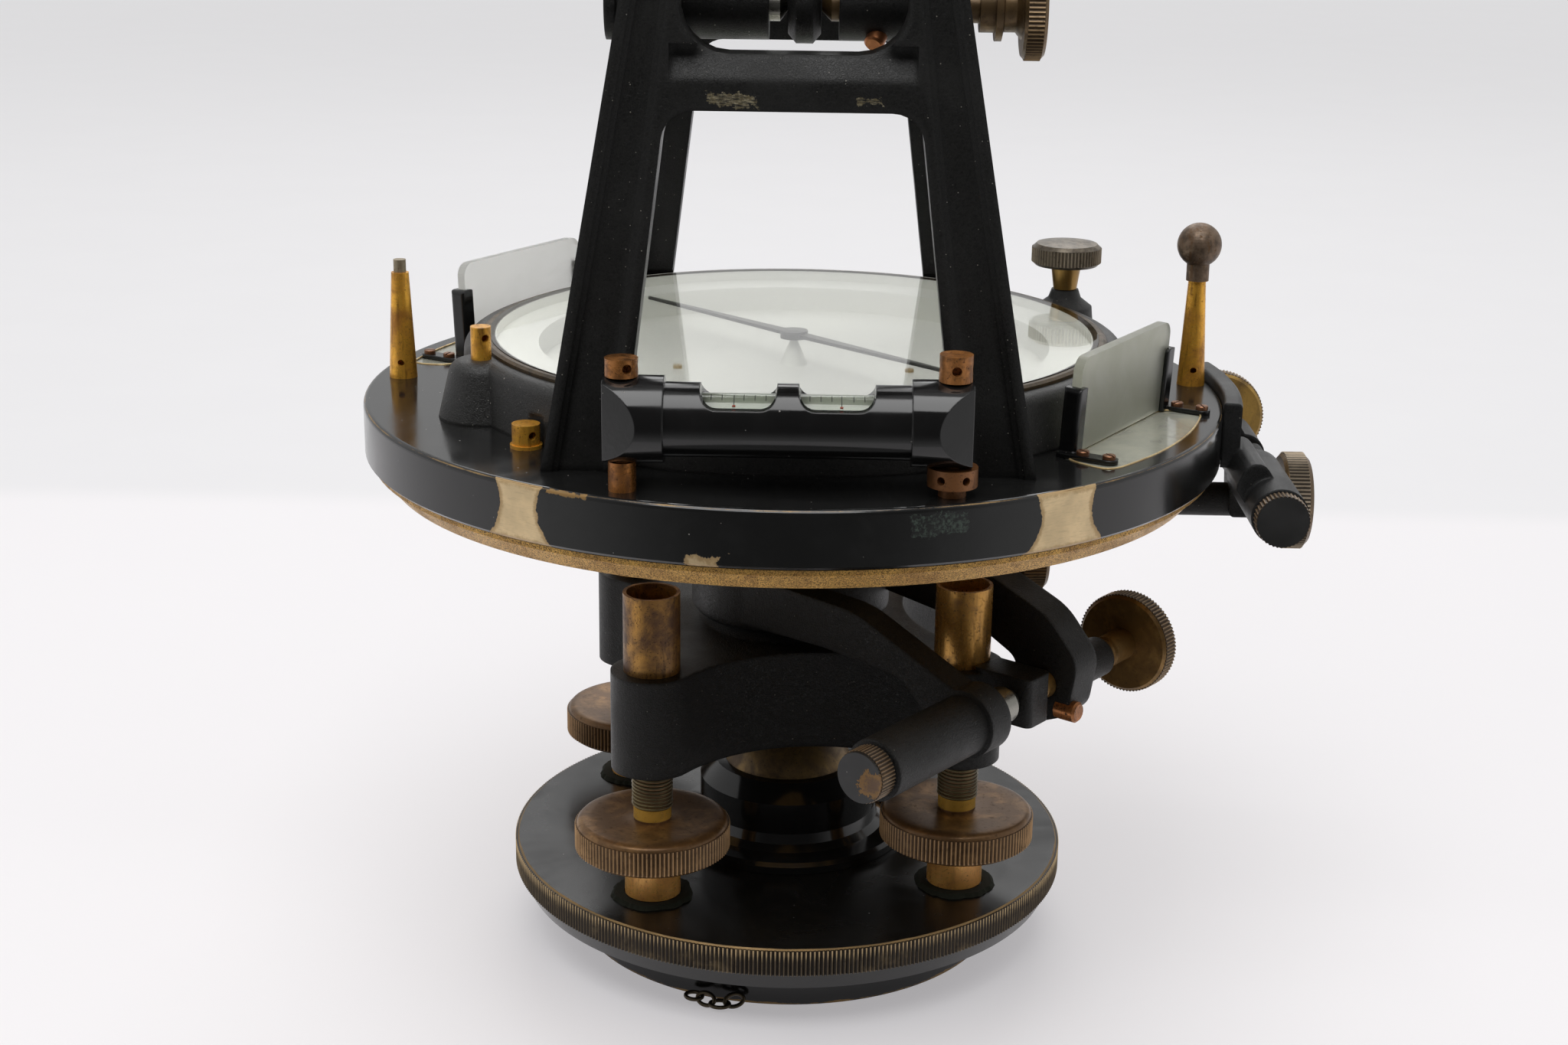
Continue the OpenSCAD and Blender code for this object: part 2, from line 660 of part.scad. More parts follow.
// Two vernier arcs beside the graduated ring, and one on an arm beside the vertical circle
module verniers() {
    r_out = scale_r - scale_w - 0.9;
    spread = 14;
    mid = (window_az1 + window_az2) / 2;
    far = std_y - std_t;
    color(silver) {
        for (a = [0, 180]) rotate([0, 0, a + mid - spread]) {
            translate([0, 0, scale_z - 1.3]) rotate_extrude(angle = 2 * spread)
                translate([62, 0]) square([r_out - 62, 1.3]);
            translate([0, 0, scale_z]) rotate_extrude(angle = 2 * spread)
                translate([62, 0]) square([5, plate_under - scale_z]);
        }
        translate([0, 0, axis_z]) {
            translate([circle_r + 0.4, circle_y, -9]) cube([9, 3, 18]);
            translate([circle_r + 5.4, circle_y + 3, -4]) cube([4, far - circle_y - 3, 8]);
        }
        translate([std_w1 - 4, far - 3, axis_z - 4]) cube([circle_r + 13.4 - std_w1, 3, 8]);
    }
}

module reflector_glasses() {
    half = reflector_w / 2;
    color(clear) for (q = [[0, reflector_shift, 0], [180, reflector_shift2, reflector_rise2]])
        rotate([0, 0, q[0] + reflector_az])
            translate([reflector_d, q[1], plate_z]) rotate([0, reflector_lean, 0])
                translate([0, 0, 0.3 + q[2]]) rotate([90, 0, 90]) linear_extrude(height = reflector_t)
                polygon(rounded([[-half, 0, 0.5], [half, 0, 0.5], [half, reflector_h, 3],
                    [-half, reflector_h, 3]]));
}

// A channel at each side of a reflector and the foot that screws it to the plate
module reflector_clips() {
    half = reflector_w / 2;
    color(lacquer) for (q = [[0, reflector_shift, 13.8], [180, reflector_shift2, 13.8 + reflector_rise2]])
        rotate([0, 0, q[0] + reflector_az]) translate([reflector_d, q[1], plate_z]) for (s = [-1, 1]) {
            rotate([0, reflector_lean, 0]) difference() {
                intersection() {
                    translate([0, 0, 0.2]) linear_extrude(height = q[2]) polygon(rounded([
                        [-0.9, s * half - 1.9, 0.8], [reflector_t + 0.9, s * half - 1.9, 0.8],
                        [reflector_t + 0.9, s * half + 1.9, 0.8], [-0.9, s * half + 1.9, 0.8]]));
                    translate([-2, 0, 0]) rotate([90, 0, 90]) linear_extrude(height = 8)
                        polygon(rounded([[s * half - 2, 0, 0], [s * half + 2, 0, 0],
                            [s * half + 2, q[2], 1.4], [s * half - 2, q[2], 1.4]]));
                }
                translate([-0.05, s * (half - 1.2) - 1.6, -1])
                    cube([reflector_t + 0.1, 3.2, 30]);
            }
            linear_extrude(height = 0.9) polygon(rounded([
                [-0.9, s * (half + 0.2), 0], [-0.9, s * (half + 3.6), 1.5],
                [12, s * (half + 3.6), 1.8], [12, s * (half + 0.2), 1.6]]));
        }
}

module compass_box() {
    rim_in = glass_r + glass_ring_w + run;
    floor_z = plate_z + 3;
    ledge = box_top - 2.2;
    rise = box_top - plate_z;
    color(crinkle) difference() {
        union() {
            rotate_extrude() polygon(rounded([
                [0, plate_z, 0], [box_r, plate_z, 0], [box_r - 0.8, box_top, 2.2], [0, box_top, 0]]));
            for (q = [[0, 0, 9.5, 6.6], [7, 4, 11, 9]])
                translate([box_lug[0] + q[0], box_lug[1] + q[1], plate_z]) rotate_extrude()
                    polygon(rounded([[0, 0, 0], [q[2], 0, 0], [q[3], rise, 3], [0, rise, 0]]));
            translate([lifter_x, lifter_y, plate_z]) rotate_extrude() polygon([[0, 0], [7.5, 0],
                [6.4, rise - 2], [3.8, rise], [3.1, rise + 2], [0, rise + 2]]);
        }
        translate([0, 0, floor_z]) cylinder(r = glass_r - 1.2, h = 20);
        translate([0, 0, ledge]) cylinder(r = rim_in, h = 20);
        translate([lifter_x, lifter_y, plate_z + 2]) cylinder(r = 2 + run, h = 30);
        translate([capstan_a[0], capstan_a[1], plate_z - 1]) cylinder(r = 3.2 + gap, h = 7);
    }
}

module compass_dial() {
    floor_z = plate_z + 3;
    color(silver) {
        translate([0, 0, floor_z]) cylinder(r = 55, h = 0.8);
        translate([0, 0, floor_z]) ring(glass_r - 1.3, 55, needle_z - floor_z - 0.8);
        translate([0, 0, floor_z + 0.8]) cylinder(r1 = 3, r2 = 0.5, h = needle_z - floor_z - 1.1);
    }
}

module glass_ring() {
    seat = glass_z - glass_t;
    color(brass) rotate_extrude() polygon([
        [glass_r - 1, box_top - 2.2], [glass_r + glass_ring_w, box_top - 2.2],
        [glass_r + glass_ring_w, box_top + 0.6], [glass_r + 1, box_top + 1],
        [glass_r + run, box_top + 1], [glass_r + run, seat], [glass_r - 1, seat]]);
}

module compass_glass() {
    color(clear) translate([0, 0, glass_z - glass_t]) cylinder(r = glass_r, h = glass_t);
}

module compass_needle() {
    half = needle_l / 2;
    color(lacquer) rotate([0, 0, needle_az]) translate([0, 0, needle_z]) difference() {
        union() {
            linear_extrude(height = 0.7) polygon([[-half, 0.2], [0, 1.5], [half, 0.2], [half, -0.2],
                [0, -1.5], [-half, -0.2]]);
            translate([0, 0, -0.5]) cylinder(r = 3, h = 1.6);
        }
        translate([0, 0, -1]) cylinder(r = 1.3, h = 1.2);
    }
}

module needle_lifter() {
    z0 = box_top + 2.1;
    color(bronze) translate([lifter_x, lifter_y, 0]) rotate_extrude() polygon([
        [0, plate_z + 3], [2, plate_z + 3], [2, z0], [2.7, z0], [3.5, z0 + 5.6], [7.2, z0 + 5.6],
        [7.8, z0 + 6.2], [7.8, z0 + 9.8], [7, z0 + 10.6], [3, z0 + 11], [0, z0 + 11]]);
}

// Outline of a standard in the X-Z plane with its two openings
module standard_plan() {
    difference() {
        union() {
            polygon([[-std_w0, plate_z], [std_w0, plate_z], [std_half(axis_z - 6), axis_z - 6],
                [std_half(axis_z - 6), axis_z], [-std_half(axis_z - 6), axis_z],
                [-std_half(axis_z - 6), axis_z - 6]]);
        }
        polygon(rounded([[-open_w0, plate_z - 1, 0], [open_w0, plate_z - 1, 0],
            [open_half(bar_z), bar_z, open_fillet], [-open_half(bar_z), bar_z, open_fillet]]));
        polygon(rounded([[-open_half(bar_z + bar_h), bar_z + bar_h, open_fillet + 3],
            [open_half(bar_z + bar_h), bar_z + bar_h, open_fillet + 3],
            [open_half(open_top), open_top, open_fillet],
            [-open_half(open_top), open_top, open_fillet]]));
    }
}

// A standard stands on -Y, with a recess in each leg's outer face and a sloped crossbar
module standard() {
    leg_top = open_top + 4;
    z0 = plate_z - 1;
    difference() {
        union() {
            translate([0, -std_y + std_t, 0]) rotate([90, 0, 0])
                linear_extrude(height = std_t) standard_plan();
        }
        translate([-open_half(bar_z + bar_h) - 0.4, -std_y, 0]) rotate([90, 0, 90])
            linear_extrude(height = 2 * open_half(bar_z + bar_h) + 0.8)
            polygon([[-1, bar_z + bar_h * 0.55], [0, bar_z + bar_h * 0.55], [2.4, bar_z + bar_h],
                [2.4, bar_z + bar_h + 2], [-1, bar_z + bar_h + 2]]);
        for (s = [0, 1], q = [[2.1, 0.6], [3.2, 1.3]]) mirror([s, 0, 0])
            translate([0, -std_y + q[1], 0]) rotate([90, 0, 0]) linear_extrude(height = 3) polygon([
                [open_half(z0) + q[0], z0], [std_half(z0) - q[0], z0],
                [std_half(leg_top) - q[0], leg_top], [open_half(leg_top) + q[0], leg_top]]);
        translate([0, 0, plate_z - 1]) cylinder(r = box_r + 0.3, h = glass_z + 1 - plate_z);
        translate([0, 0, axis_z]) rod_y(journal_r + run, -std_y - 1, -std_y + std_t + 1);
    }
}

module standard_near() {
    color(crinkle) standard();
}

module standard_far() {
    color(crinkle) mirror([0, 1, 0]) standard();
}

module bearing_caps() {
    half = std_half(axis_z - 6);
    color(crinkle) for (s = [0, 1]) mirror([0, s, 0]) difference() {
        translate([0, -std_y + std_t, axis_z]) rotate([90, 0, 0]) linear_extrude(height = std_t)
            polygon(rounded([[-half, 0, 0], [half, 0, 0], [half, 5, 0], [10, 7, 2], [7, 14, 6],
                [-7, 14, 6], [-10, 7, 2], [-half, 5, 0]]));
        translate([0, 0, axis_z]) rod_y(journal_r + run, -std_y - 1, -std_y + std_t + 1);
    }
}

module plate_level() {
    color(lacquer) translate([0, -level_y, level_z]) difference() {
        union() {
            rod_x(level_r, -level_tube_l, level_tube_l);
            for (s = [0, 1]) mirror([s, 0, 0]) intersection() {
                rod_x(level_cap_r, level_tube_l - 0.6, level_l);
                translate([level_tube_l - 2, 0, 0]) rotate([90, 0, 0])
                    linear_extrude(height = 20, center = true) polygon([[0, -9], [0, 9],
                        [level_l - level_tube_l + 2, 9], [level_l - level_tube_l + 2, -9]]);
                translate([0, 0, -20]) linear_extrude(height = 40) polygon([[0, -9], [0, 9],
                    [level_tube_l + 3, 9], [level_l, 3.5], [level_l, -3.5],
                    [level_tube_l + 3, -9]]);
            }
        }
        rod_x(vial_r + run, -level_l + 3, level_l - 3);
        for (s = [0, 1]) mirror([s, 0, 0]) translate([9, 0, 3]) rotate([90, 0, 0])
            linear_extrude(height = 30, center = true)
            polygon(rounded([[-7, 0.2, 3], [7, 0.2, 3], [7, 12, 0], [-7, 12, 0]]));
        for (s = [-1, 1]) translate([s * level_stud_x, 0, -20]) cylinder(r = 1.6 + run, h = 40);
    }
}

module plate_vial() {
    color(clear) translate([0, -level_y, level_z])
        rod_x(vial_r, -level_stud_x + 2.4, level_stud_x - 2.4);
}

module level_studs() {
    base = plate_z;
    low = level_z - level_cap_r;
    high = level_z + level_cap_r;
    color(brass) for (s = [-1, 1]) translate([s * level_stud_x, -level_y, 0]) {
        translate([0, 0, base]) cylinder(r = 1.6, h = high - base + 1);
        translate([0, 0, base]) cylinder(r = 2.6, h = s < 0 ? low - base : 1.6);
        if (s > 0) translate([0, 0, low - 3.6]) difference() {
            cylinder(r = 4.7, h = 3.6);
            for (a = [-30, 30]) rotate([0, 0, a]) translate([0, 0, 1.8]) rod_y(0.8, -6, -2.6);
        }
        translate([0, 0, high]) difference() {
            cylinder(r = 3.1, h = s < 0 ? 3.4 : 5);
            translate([0, 0, s < 0 ? 1.8 : 2.4]) {
                rod_x(0.9, -5, 5);
                rotate([0, 0, s < 0 ? 25 : 0]) rod_y(0.9, -5, -1);
            }
        }
    }
}

// The two guard posts with one ball, and two capstan-headed adjusting screws
module plate_posts() {
    post_h = 23.2;
    module post(p) {
        translate([p[0], p[1], plate_z]) difference() {
            cylinder(r1 = 3.05, r2 = 1.9, h = post_h);
            translate([0, 0, 3.6]) rod_y(0.7, -5, 0.5);
        }
    }
    color(brass) {
        post(post_left);
        translate([post_left[0], post_left[1], plate_z + post_h]) cylinder(r = 1.35, h = 2.8);
        post(post_right);
        translate([capstan_a[0], capstan_a[1], plate_z]) {
            cylinder(r = 3.2, h = 0.7);
            difference() {
                cylinder(r = 2.8, h = 4.8);
                translate([0, 0, 2.8]) rotate([0, 0, 35]) rod_y(0.8, -5, 0.5);
            }
        }
        translate([capstan_b[0], capstan_b[1], box_top]) difference() {
            cylinder(r = 2.1, h = 6.8);
            translate([0, 0, 4.6]) rotate([0, 0, 35]) rod_y(0.8, -5, 0.5);
        }
    }
    color(bronze) translate([post_right[0], post_right[1], plate_z + post_h])
        rotate_extrude() polygon(concat([[0, 0], [2.45, 0], [2.45, 3.4]],
            [for (a = [-59 : 7.45 : 90]) [4.8 * cos(a), 7.8 + 4.8 * sin(a)]]));
}

module upper_tangent_bracket() {
    open_y = 8;
    lip_r = plate_r + 3.96;
    lip_z = plate_rim_z - 0.4;
    web = [[plate_r + 0.02, lip_z, 0], [lip_r - 0.6, lip_z + 8, 3], [ut_x, ut_z + ut_barrel_r - 0.4, 0],
        [ut_x + 3, ut_z, 0], [ut_x - 3, ut_z - 4, 0], [plate_r + 0.02, lip_z - 1.2, 0]];
    color(crinkle) difference() {
        union() {
            rotate([0, 0, -10.4]) translate([0, 0, lip_z]) rotate_extrude(angle = 23.1)
                translate([plate_r + 0.02, 0]) polygon(rounded([[0, 0, 0], [3.94, 0, 0],
                    [3.94, plate_z + 2.2 - lip_z, 1], [0, plate_z + 2.2 - lip_z, 0.6]], 3));
            for (y = [[-30, -open_y], [open_y, 18]]) translate([0, y[1], 0]) rotate([90, 0, 0])
                linear_extrude(height = y[1] - y[0]) polygon(rounded(web));
            translate([ut_x, 0, ut_z]) {
                rod_y(ut_barrel_r, -ut_barrel_end, -open_y);
                rod_y(5, open_y, 24);
            }
        }
        translate([ut_x, 0, ut_z]) {
            rod_y(plunger_r + run, -ut_barrel_end + 2, -open_y + 1);
            rod_y(screw_r + run, open_y - 1, 30);
        }
    }
}

module upper_spring_cap() {
    color(lacquer) translate([ut_x, 0, ut_z]) rod_y(5.3, -ut_barrel_end - 3.5, -ut_barrel_end);
}

module upper_tangent_screw() {
    k = ut_knob_y;
    color(bronze) translate([ut_x, 0, ut_z]) rotate([0, 0, 90]) turned_x([
        [4 + touch, 0], [4 + touch, 1.2], [6, screw_r], [28, screw_r], [28.3, 3.5], [k, 3.5], [k, ut_knob_r - 0.6],
        [k + 0.6, ut_knob_r], [k + 3.8, ut_knob_r], [k + 4.4, ut_knob_r - 0.6], [k + 4.4, 0]]);
}

module upper_plunger() {
    color(brass) translate([ut_x, 0, ut_z]) rotate([0, 0, 90]) turned_x([
        [-24, 0], [-24, plunger_r], [-5.5, plunger_r], [-4 - touch, 1.2], [-4 - touch, 0]]);
}

module upper_clamp_arm() {
    color(crinkle) difference() {
        union() {
            translate([0, 0, upper_collar_z]) cylinder(r = collar_r, h = upper_collar_h);
            translate([0, 0, uc_z]) rod_x(uc_tube_r, collar_r - 3, 105.6);
            translate([ut_x, 4, 0]) rotate([90, 0, 0]) linear_extrude(height = 8)
                polygon(rounded([[-4, uc_z - 3, 1], [4, uc_z - 3, 1], [4.6, ut_z, 3],
                    [3, ut_z + 4, 2], [-3, ut_z + 4, 2], [-4.6, ut_z, 3]]));
        }
        translate([0, 0, upper_collar_z - 1]) cylinder(r = drum_r + run, h = upper_collar_h + 2);
        translate([0, 0, uc_z]) rod_x(uc_rod_r + run, 10, 120);
    }
}

module upper_clamp_screw() {
    color(bronze) translate([0, 0, uc_z]) turned_x([
        [drum_r + 0.4, 0], [drum_r + 0.4, uc_rod_r], [106, uc_rod_r], [106.4, 3.6],
        [107.1, 3.6], [107.1, uc_knob_r - 0.6], [107.7, uc_knob_r], [112.2, uc_knob_r],
        [113.1, uc_knob_r - 0.9], [113.1, 0]]);
}

module telescope_tube() {
    color(lacquer) translate([0, 0, axis_z]) difference() {
        union() {
            turned_x([[-tube_front, 0], [-tube_front, tube_r + 0.9], [-tube_front + 8, tube_r + 0.9],
                [-tube_front + 9, tube_r], [58, tube_r], [61, tube_r + 1.2], [66, tube_r + 1.2],
                [74, 12], [tube_back, 12], [tube_back, 0]]);
            sphere(r = 20.5);
            rotate([0, 0, 90]) turned_x([
                [-std_y, 0], [-std_y, journal_r], [-std_y + std_t + 0.5, journal_r],
                [-std_y + std_t + 0.5, axle_r], [-arm_y + 6, axle_r], [-arm_y + 6.6, 11],
                [-18, 14], [18, 14], [circle_y - 4, 11], [circle_y - 4, axle_r],
                [std_y - std_t - 0.5, axle_r], [std_y - std_t - 0.5, journal_r],
                [std_y, journal_r], [std_y, 0]]);
            // Housing of the focusing pinion
            translate([-62, 0, 17]) rotate([90, 0, 0]) cylinder(r = 7, h = 22, center = true);
            translate([-69, -11, 8]) cube([14, 22, 9]);
        }
        rod_x(tube_bore, -tube_front - 1, 64);
        rod_x(9 + run, 60, tube_back + 1);
        translate([-62, 0, 18.2]) rod_y(2.5 + run, -12, 8);
    }
}

module vertical_circle() {
    spokes = 6;
    rim_in = circle_r - 9;
    color(silver) translate([0, circle_y, axis_z]) rotate([-90, 0, 0]) difference() {
        union() {
            ring(circle_r, rim_in, 3);
            translate([0, 0, -3.5]) cylinder(r = 14, h = 7);
            for (i = [0 : spokes - 1]) rotate([0, 0, 360 / spokes * i])
                translate([0, -3.5, 0.3]) cube([rim_in + 1, 7, 2.4]);
        }
        translate([0, 0, -10]) cylinder(r = axle_r, h = 20);
    }
}

module telescope_level() {
    color(lacquer) translate([0, 0, axis_z - tlevel_d]) difference() {
        union() {
            rod_x(6.2, -tlevel_l, tlevel_l);
            for (s = [-1, 1]) translate([s * (tlevel_l - 6), 0, 0]) {
                rod_x(7.6, -5, 5);
                cylinder(r = 2.6, h = tlevel_d - tube_r + 1);
            }
        }
        rod_x(4.6 + run, -tlevel_l + 3, tlevel_l - 3);
        translate([0, 0, tlevel_d]) rod_x(tube_r, -tlevel_l, tlevel_l);
        translate([0, 0, tlevel_d]) rod_x(tube_r + 1.2, 55, tlevel_l + 4);
        translate([0, 0, -6]) rotate([90, 0, 0]) linear_extrude(height = 30, center = true)
            polygon(rounded([[-24, -6, 0], [24, -6, 0], [24, 3.4, 3], [-24, 3.4, 3]]));
        translate([0, 0, 4]) rotate([90, 0, 0]) linear_extrude(height = 30, center = true)
            polygon(rounded([[-24, -1.4, 3], [24, -1.4, 3], [24, 6, 0], [-24, 6, 0]]));
    }
}

module telescope_vial() {
    color(clear) translate([0, 0, axis_z - tlevel_d]) rod_x(4.6, -tlevel_l + 3.1, tlevel_l - 3.1);
}

module objective_slide() {
    c = cell_front;
    color(brass) translate([0, 0, axis_z]) difference() {
        turned_x([[-c, 0], [-c, cell_r - 0.8], [-c + 0.8, cell_r], [-c + 9, cell_r], [-c + 10, cell_r - 1.4],
            [-c + 20, cell_r - 1.4], [-c + 21, tube_bore - run], [-40, tube_bore - run], [-40, 0]]);
        rod_x(12.8, -c - 1, -39);
        rod_x(13.8, -c - 1, -c + 7);
    }
}

module objective_lens() {
    color(clear) translate([0, 0, axis_z]) turned_x([[-cell_front + 2, 0], [-cell_front + 2.8, 13.75],
        [-cell_front + 6.9, 13.75], [-cell_front + 6.2, 0]]);
}

module focus_knob() {
    color(bronze) translate([-62, 0, axis_z + 18.2]) rotate([0, 0, 90]) turned_x([
        [-24, 0], [-24, 8.2], [-23.2, 9], [-17.8, 9], [-17, 8.2], [-17, 4], [-12, 4],
        [-12, 2.5], [6, 2.5], [6, 0]]);
}

module eyepiece_tube() {
    color(brass) translate([0, 0, axis_z]) difference() {
        turned_x([[74, 0], [74, 9], [121, 9], [121, 11], [122, 12], [129, 12], [131, 10.5],
            [131, 0]]);
        rod_x(7, 70, 125);
        rod_x(3.2, 70, 135);
    }
}

module eyepiece_ring() {
    color(bronze) translate([0, 0, axis_z]) difference() {
        turned_x([[tube_back + 0.2, 0], [tube_back + 0.2, 12.6], [tube_back + 1, 13.4],
            [tube_back + 8, 13.4], [tube_back + 8.8, 12.6], [tube_back + 12, 11],
            [tube_back + 12, 0]]);
        rod_x(9 + run, 90, 130);
    }
}

module vertical_tangent_bracket() {
    inner = std_y - std_t;
    color(crinkle) translate([0, -vt_y, vt_z]) difference() {
        union() {
            rod_x(vt_barrel_r, -33.6, -5);
            rod_x(vt_barrel_r + 0.4, -35.8, -33.6);
            rod_x(vt_barrel_r, 8.2, 31);
            for (x = [-31, 22]) translate([x, vt_y - inner, -5])
                cube([9, inner - vt_y, 10]);
        }
        rod_x(plunger_r + run, -33, -4);
        rod_x(screw_r + run, 7, 40);
    }
}

module vertical_clamp_arm() {
    drop = axis_z - vt_z;
    lug_w = vt_lug_w;
    color(crinkle) translate([0, -arm_y, axis_z]) rotate([90, 0, 0]) difference() {
        union() {
            translate([0, 0, -4.5]) cylinder(r = 15, h = 9);
            translate([0, 0, -3]) linear_extrude(height = 6) polygon([[-9, -8], [9, -8],
                [vt_lug_x + 2.6, 4 - drop], [vt_lug_x - 2.6, 4 - drop]]);
            translate([vt_lug_x, -drop, 0]) turned_x([[-lug_w, 0], [-lug_w, 5.4], [-1.6, 7.2],
                [1.6, 7.2], [lug_w, 5.4], [lug_w, 0]]);
            translate([0, 12, 0]) rotate([-90, 0, 0]) cylinder(r = 5, h = 12);
        }
        translate([0, 0, -6]) cylinder(r = axle_r + run, h = 12);
        rotate([-90, 0, 0]) cylinder(r = 2.2 + run, h = 30);
    }
}

module vertical_clamp_screw() {
    color(bronze) translate([0, -arm_y, axis_z + axle_r + 0.4]) rotate([0, -90, 0]) turned_x([
        [0, 0], [0, 2.2], [15, 2.2], [15.6, 4], [17, 4], [17, 8.2], [17.8, 9], [22.2, 9],
        [23, 8.2], [23, 0]]);
}

module vertical_tangent_screw() {
    k = 42.6;
    x0 = vt_lug_x + vt_lug_w + touch;
    color(bronze) translate([0, -vt_y, vt_z]) turned_x([
        [x0, 0], [x0, 1.2], [x0 + 1.8, screw_r], [34.6, screw_r], [34.6, 4.7], [37.5, 4.7],
        [37.5, 6.3], [38.8, 6.3], [39.2, 4.6], [41.4, 4.6], [k, 6], [k, vt_knob_r - 0.5],
        [k + 0.5, vt_knob_r], [k + 3.7, vt_knob_r], [k + 4.3, vt_knob_r - 0.6], [k + 4.3, 0]]);
}

module vertical_plunger() {
    x0 = vt_lug_x - vt_lug_w - touch;
    color(brass) translate([0, -vt_y, vt_z]) turned_x([
        [-22, 0], [-22, plunger_r], [x0 - 1.4, plunger_r], [x0, 1.2], [x0, 0]]);
}

foot_plate();
plumb_chain();
shifting_plate();
ball_socket();
levelling_shoes();
shoe_felts();
half_ball();
levelling_head();
screw_caps();
level_screw_1();
level_screw_2();
level_screw_3();
level_screw_4();
outer_centre();
limb_circle();
limb_scale();
lower_clamp_fork();
lower_spring_cap();
lower_clamp_screw();
lower_tangent_screw();
lower_plunger();
vernier_plate();
inner_centre();
verniers();
vernier_windows();
reflector_glasses();
reflector_clips();
compass_box();
compass_dial();
glass_ring();
compass_glass();
standard_near();
standard_far();
bearing_caps();
plate_level();
plate_vial();
level_studs();
plate_posts();
upper_tangent_bracket();
upper_spring_cap();
compass_needle();
needle_lifter();
upper_clamp_arm();
upper_clamp_screw();
upper_tangent_screw();
upper_plunger();
telescope_tube();
vertical_circle();
telescope_level();
telescope_vial();
objective_slide();
objective_lens();
focus_knob();
eyepiece_tube();
eyepiece_ring();
vertical_tangent_bracket();
vertical_clamp_arm();
vertical_clamp_screw();
vertical_tangent_screw();
vertical_plunger();
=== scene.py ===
"""Surveyors transit: finishes, fine detail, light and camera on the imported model.

The instrument is black lacquered and crinkle finished brass with worn golden edges. Knurled
knobs, screw threads, graduations, small screws, window trim and the plumb chain are made here
with Geometry Nodes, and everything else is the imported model's own solids with procedural
finishes. Sizes in the classes are millimetres, and meshes are metres.
"""

import logging
import math
import random
from dataclasses import dataclass, field
from enum import Enum
from typing import Any, Callable, Iterable, Sequence

import bmesh
import bpy
from mathutils import Matrix, Vector
from mathutils.noise import noise as lumps


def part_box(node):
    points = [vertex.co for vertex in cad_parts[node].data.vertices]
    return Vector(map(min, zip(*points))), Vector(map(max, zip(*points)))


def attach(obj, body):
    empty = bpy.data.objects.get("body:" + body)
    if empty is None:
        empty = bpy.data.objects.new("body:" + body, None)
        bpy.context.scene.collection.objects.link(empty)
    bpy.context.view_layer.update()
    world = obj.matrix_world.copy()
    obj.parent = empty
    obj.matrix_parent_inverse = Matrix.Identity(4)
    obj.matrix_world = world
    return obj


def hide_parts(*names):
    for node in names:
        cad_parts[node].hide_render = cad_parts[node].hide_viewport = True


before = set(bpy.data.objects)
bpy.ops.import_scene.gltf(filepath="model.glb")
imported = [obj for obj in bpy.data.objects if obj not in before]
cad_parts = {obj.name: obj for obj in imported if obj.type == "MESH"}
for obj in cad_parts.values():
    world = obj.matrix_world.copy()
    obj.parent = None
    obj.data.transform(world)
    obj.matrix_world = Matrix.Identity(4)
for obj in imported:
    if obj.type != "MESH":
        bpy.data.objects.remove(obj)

LOG = logging.getLogger("transit")
MM = 0.001
AXIS_HEIGHT = 292.0
ARM_AZIMUTH = -37.5
SHARP_EDGE = 38
UP = (0.0, 0.0, 1.0)
OUT = (1.0, 0.0, 0.0)
ASIDE = (0.0, 1.0, 0.0)
Point = tuple[float, float, float]
Colour = tuple[float, float, float]
Outline = tuple[tuple[float, float], ...]
Socket = bpy.types.NodeSocket


class Slot(Enum):
    """Material slot names; no piece made here is given one."""

    LACQUER = "black_lacquer"
    BRASS = "aged_brass"
    BRONZE = "bronzed_brass"
    SILVER = "silvered"
    GLASS = "clear_glass"
    FELT = "felt"


class Surface(Enum):
    """The shape that a region of wear follows."""

    RING = "ring"
    RIM_PATCH = "rim patch"
    BOX = "box"


def polar(radius: float, azimuth: float, height: float = 0.0) -> Vector:
    """Returns the point at a radius, azimuth in degrees and height, all in millimetres."""
    turn = math.radians(azimuth)
    return Vector((radius * math.cos(turn), radius * math.sin(turn), height))


def times(colour: Colour, factor: float) -> Colour:
    """Returns a colour made darker or lighter by a factor."""
    return tuple(c * factor for c in colour)


def quadrant(azimuth: int) -> str:
    """Returns the figure at an azimuth of a circle that counts from 0 to 90 and back."""
    half = azimuth % 180
    return str(half if half <= 90 else 180 - half)


# Shader building


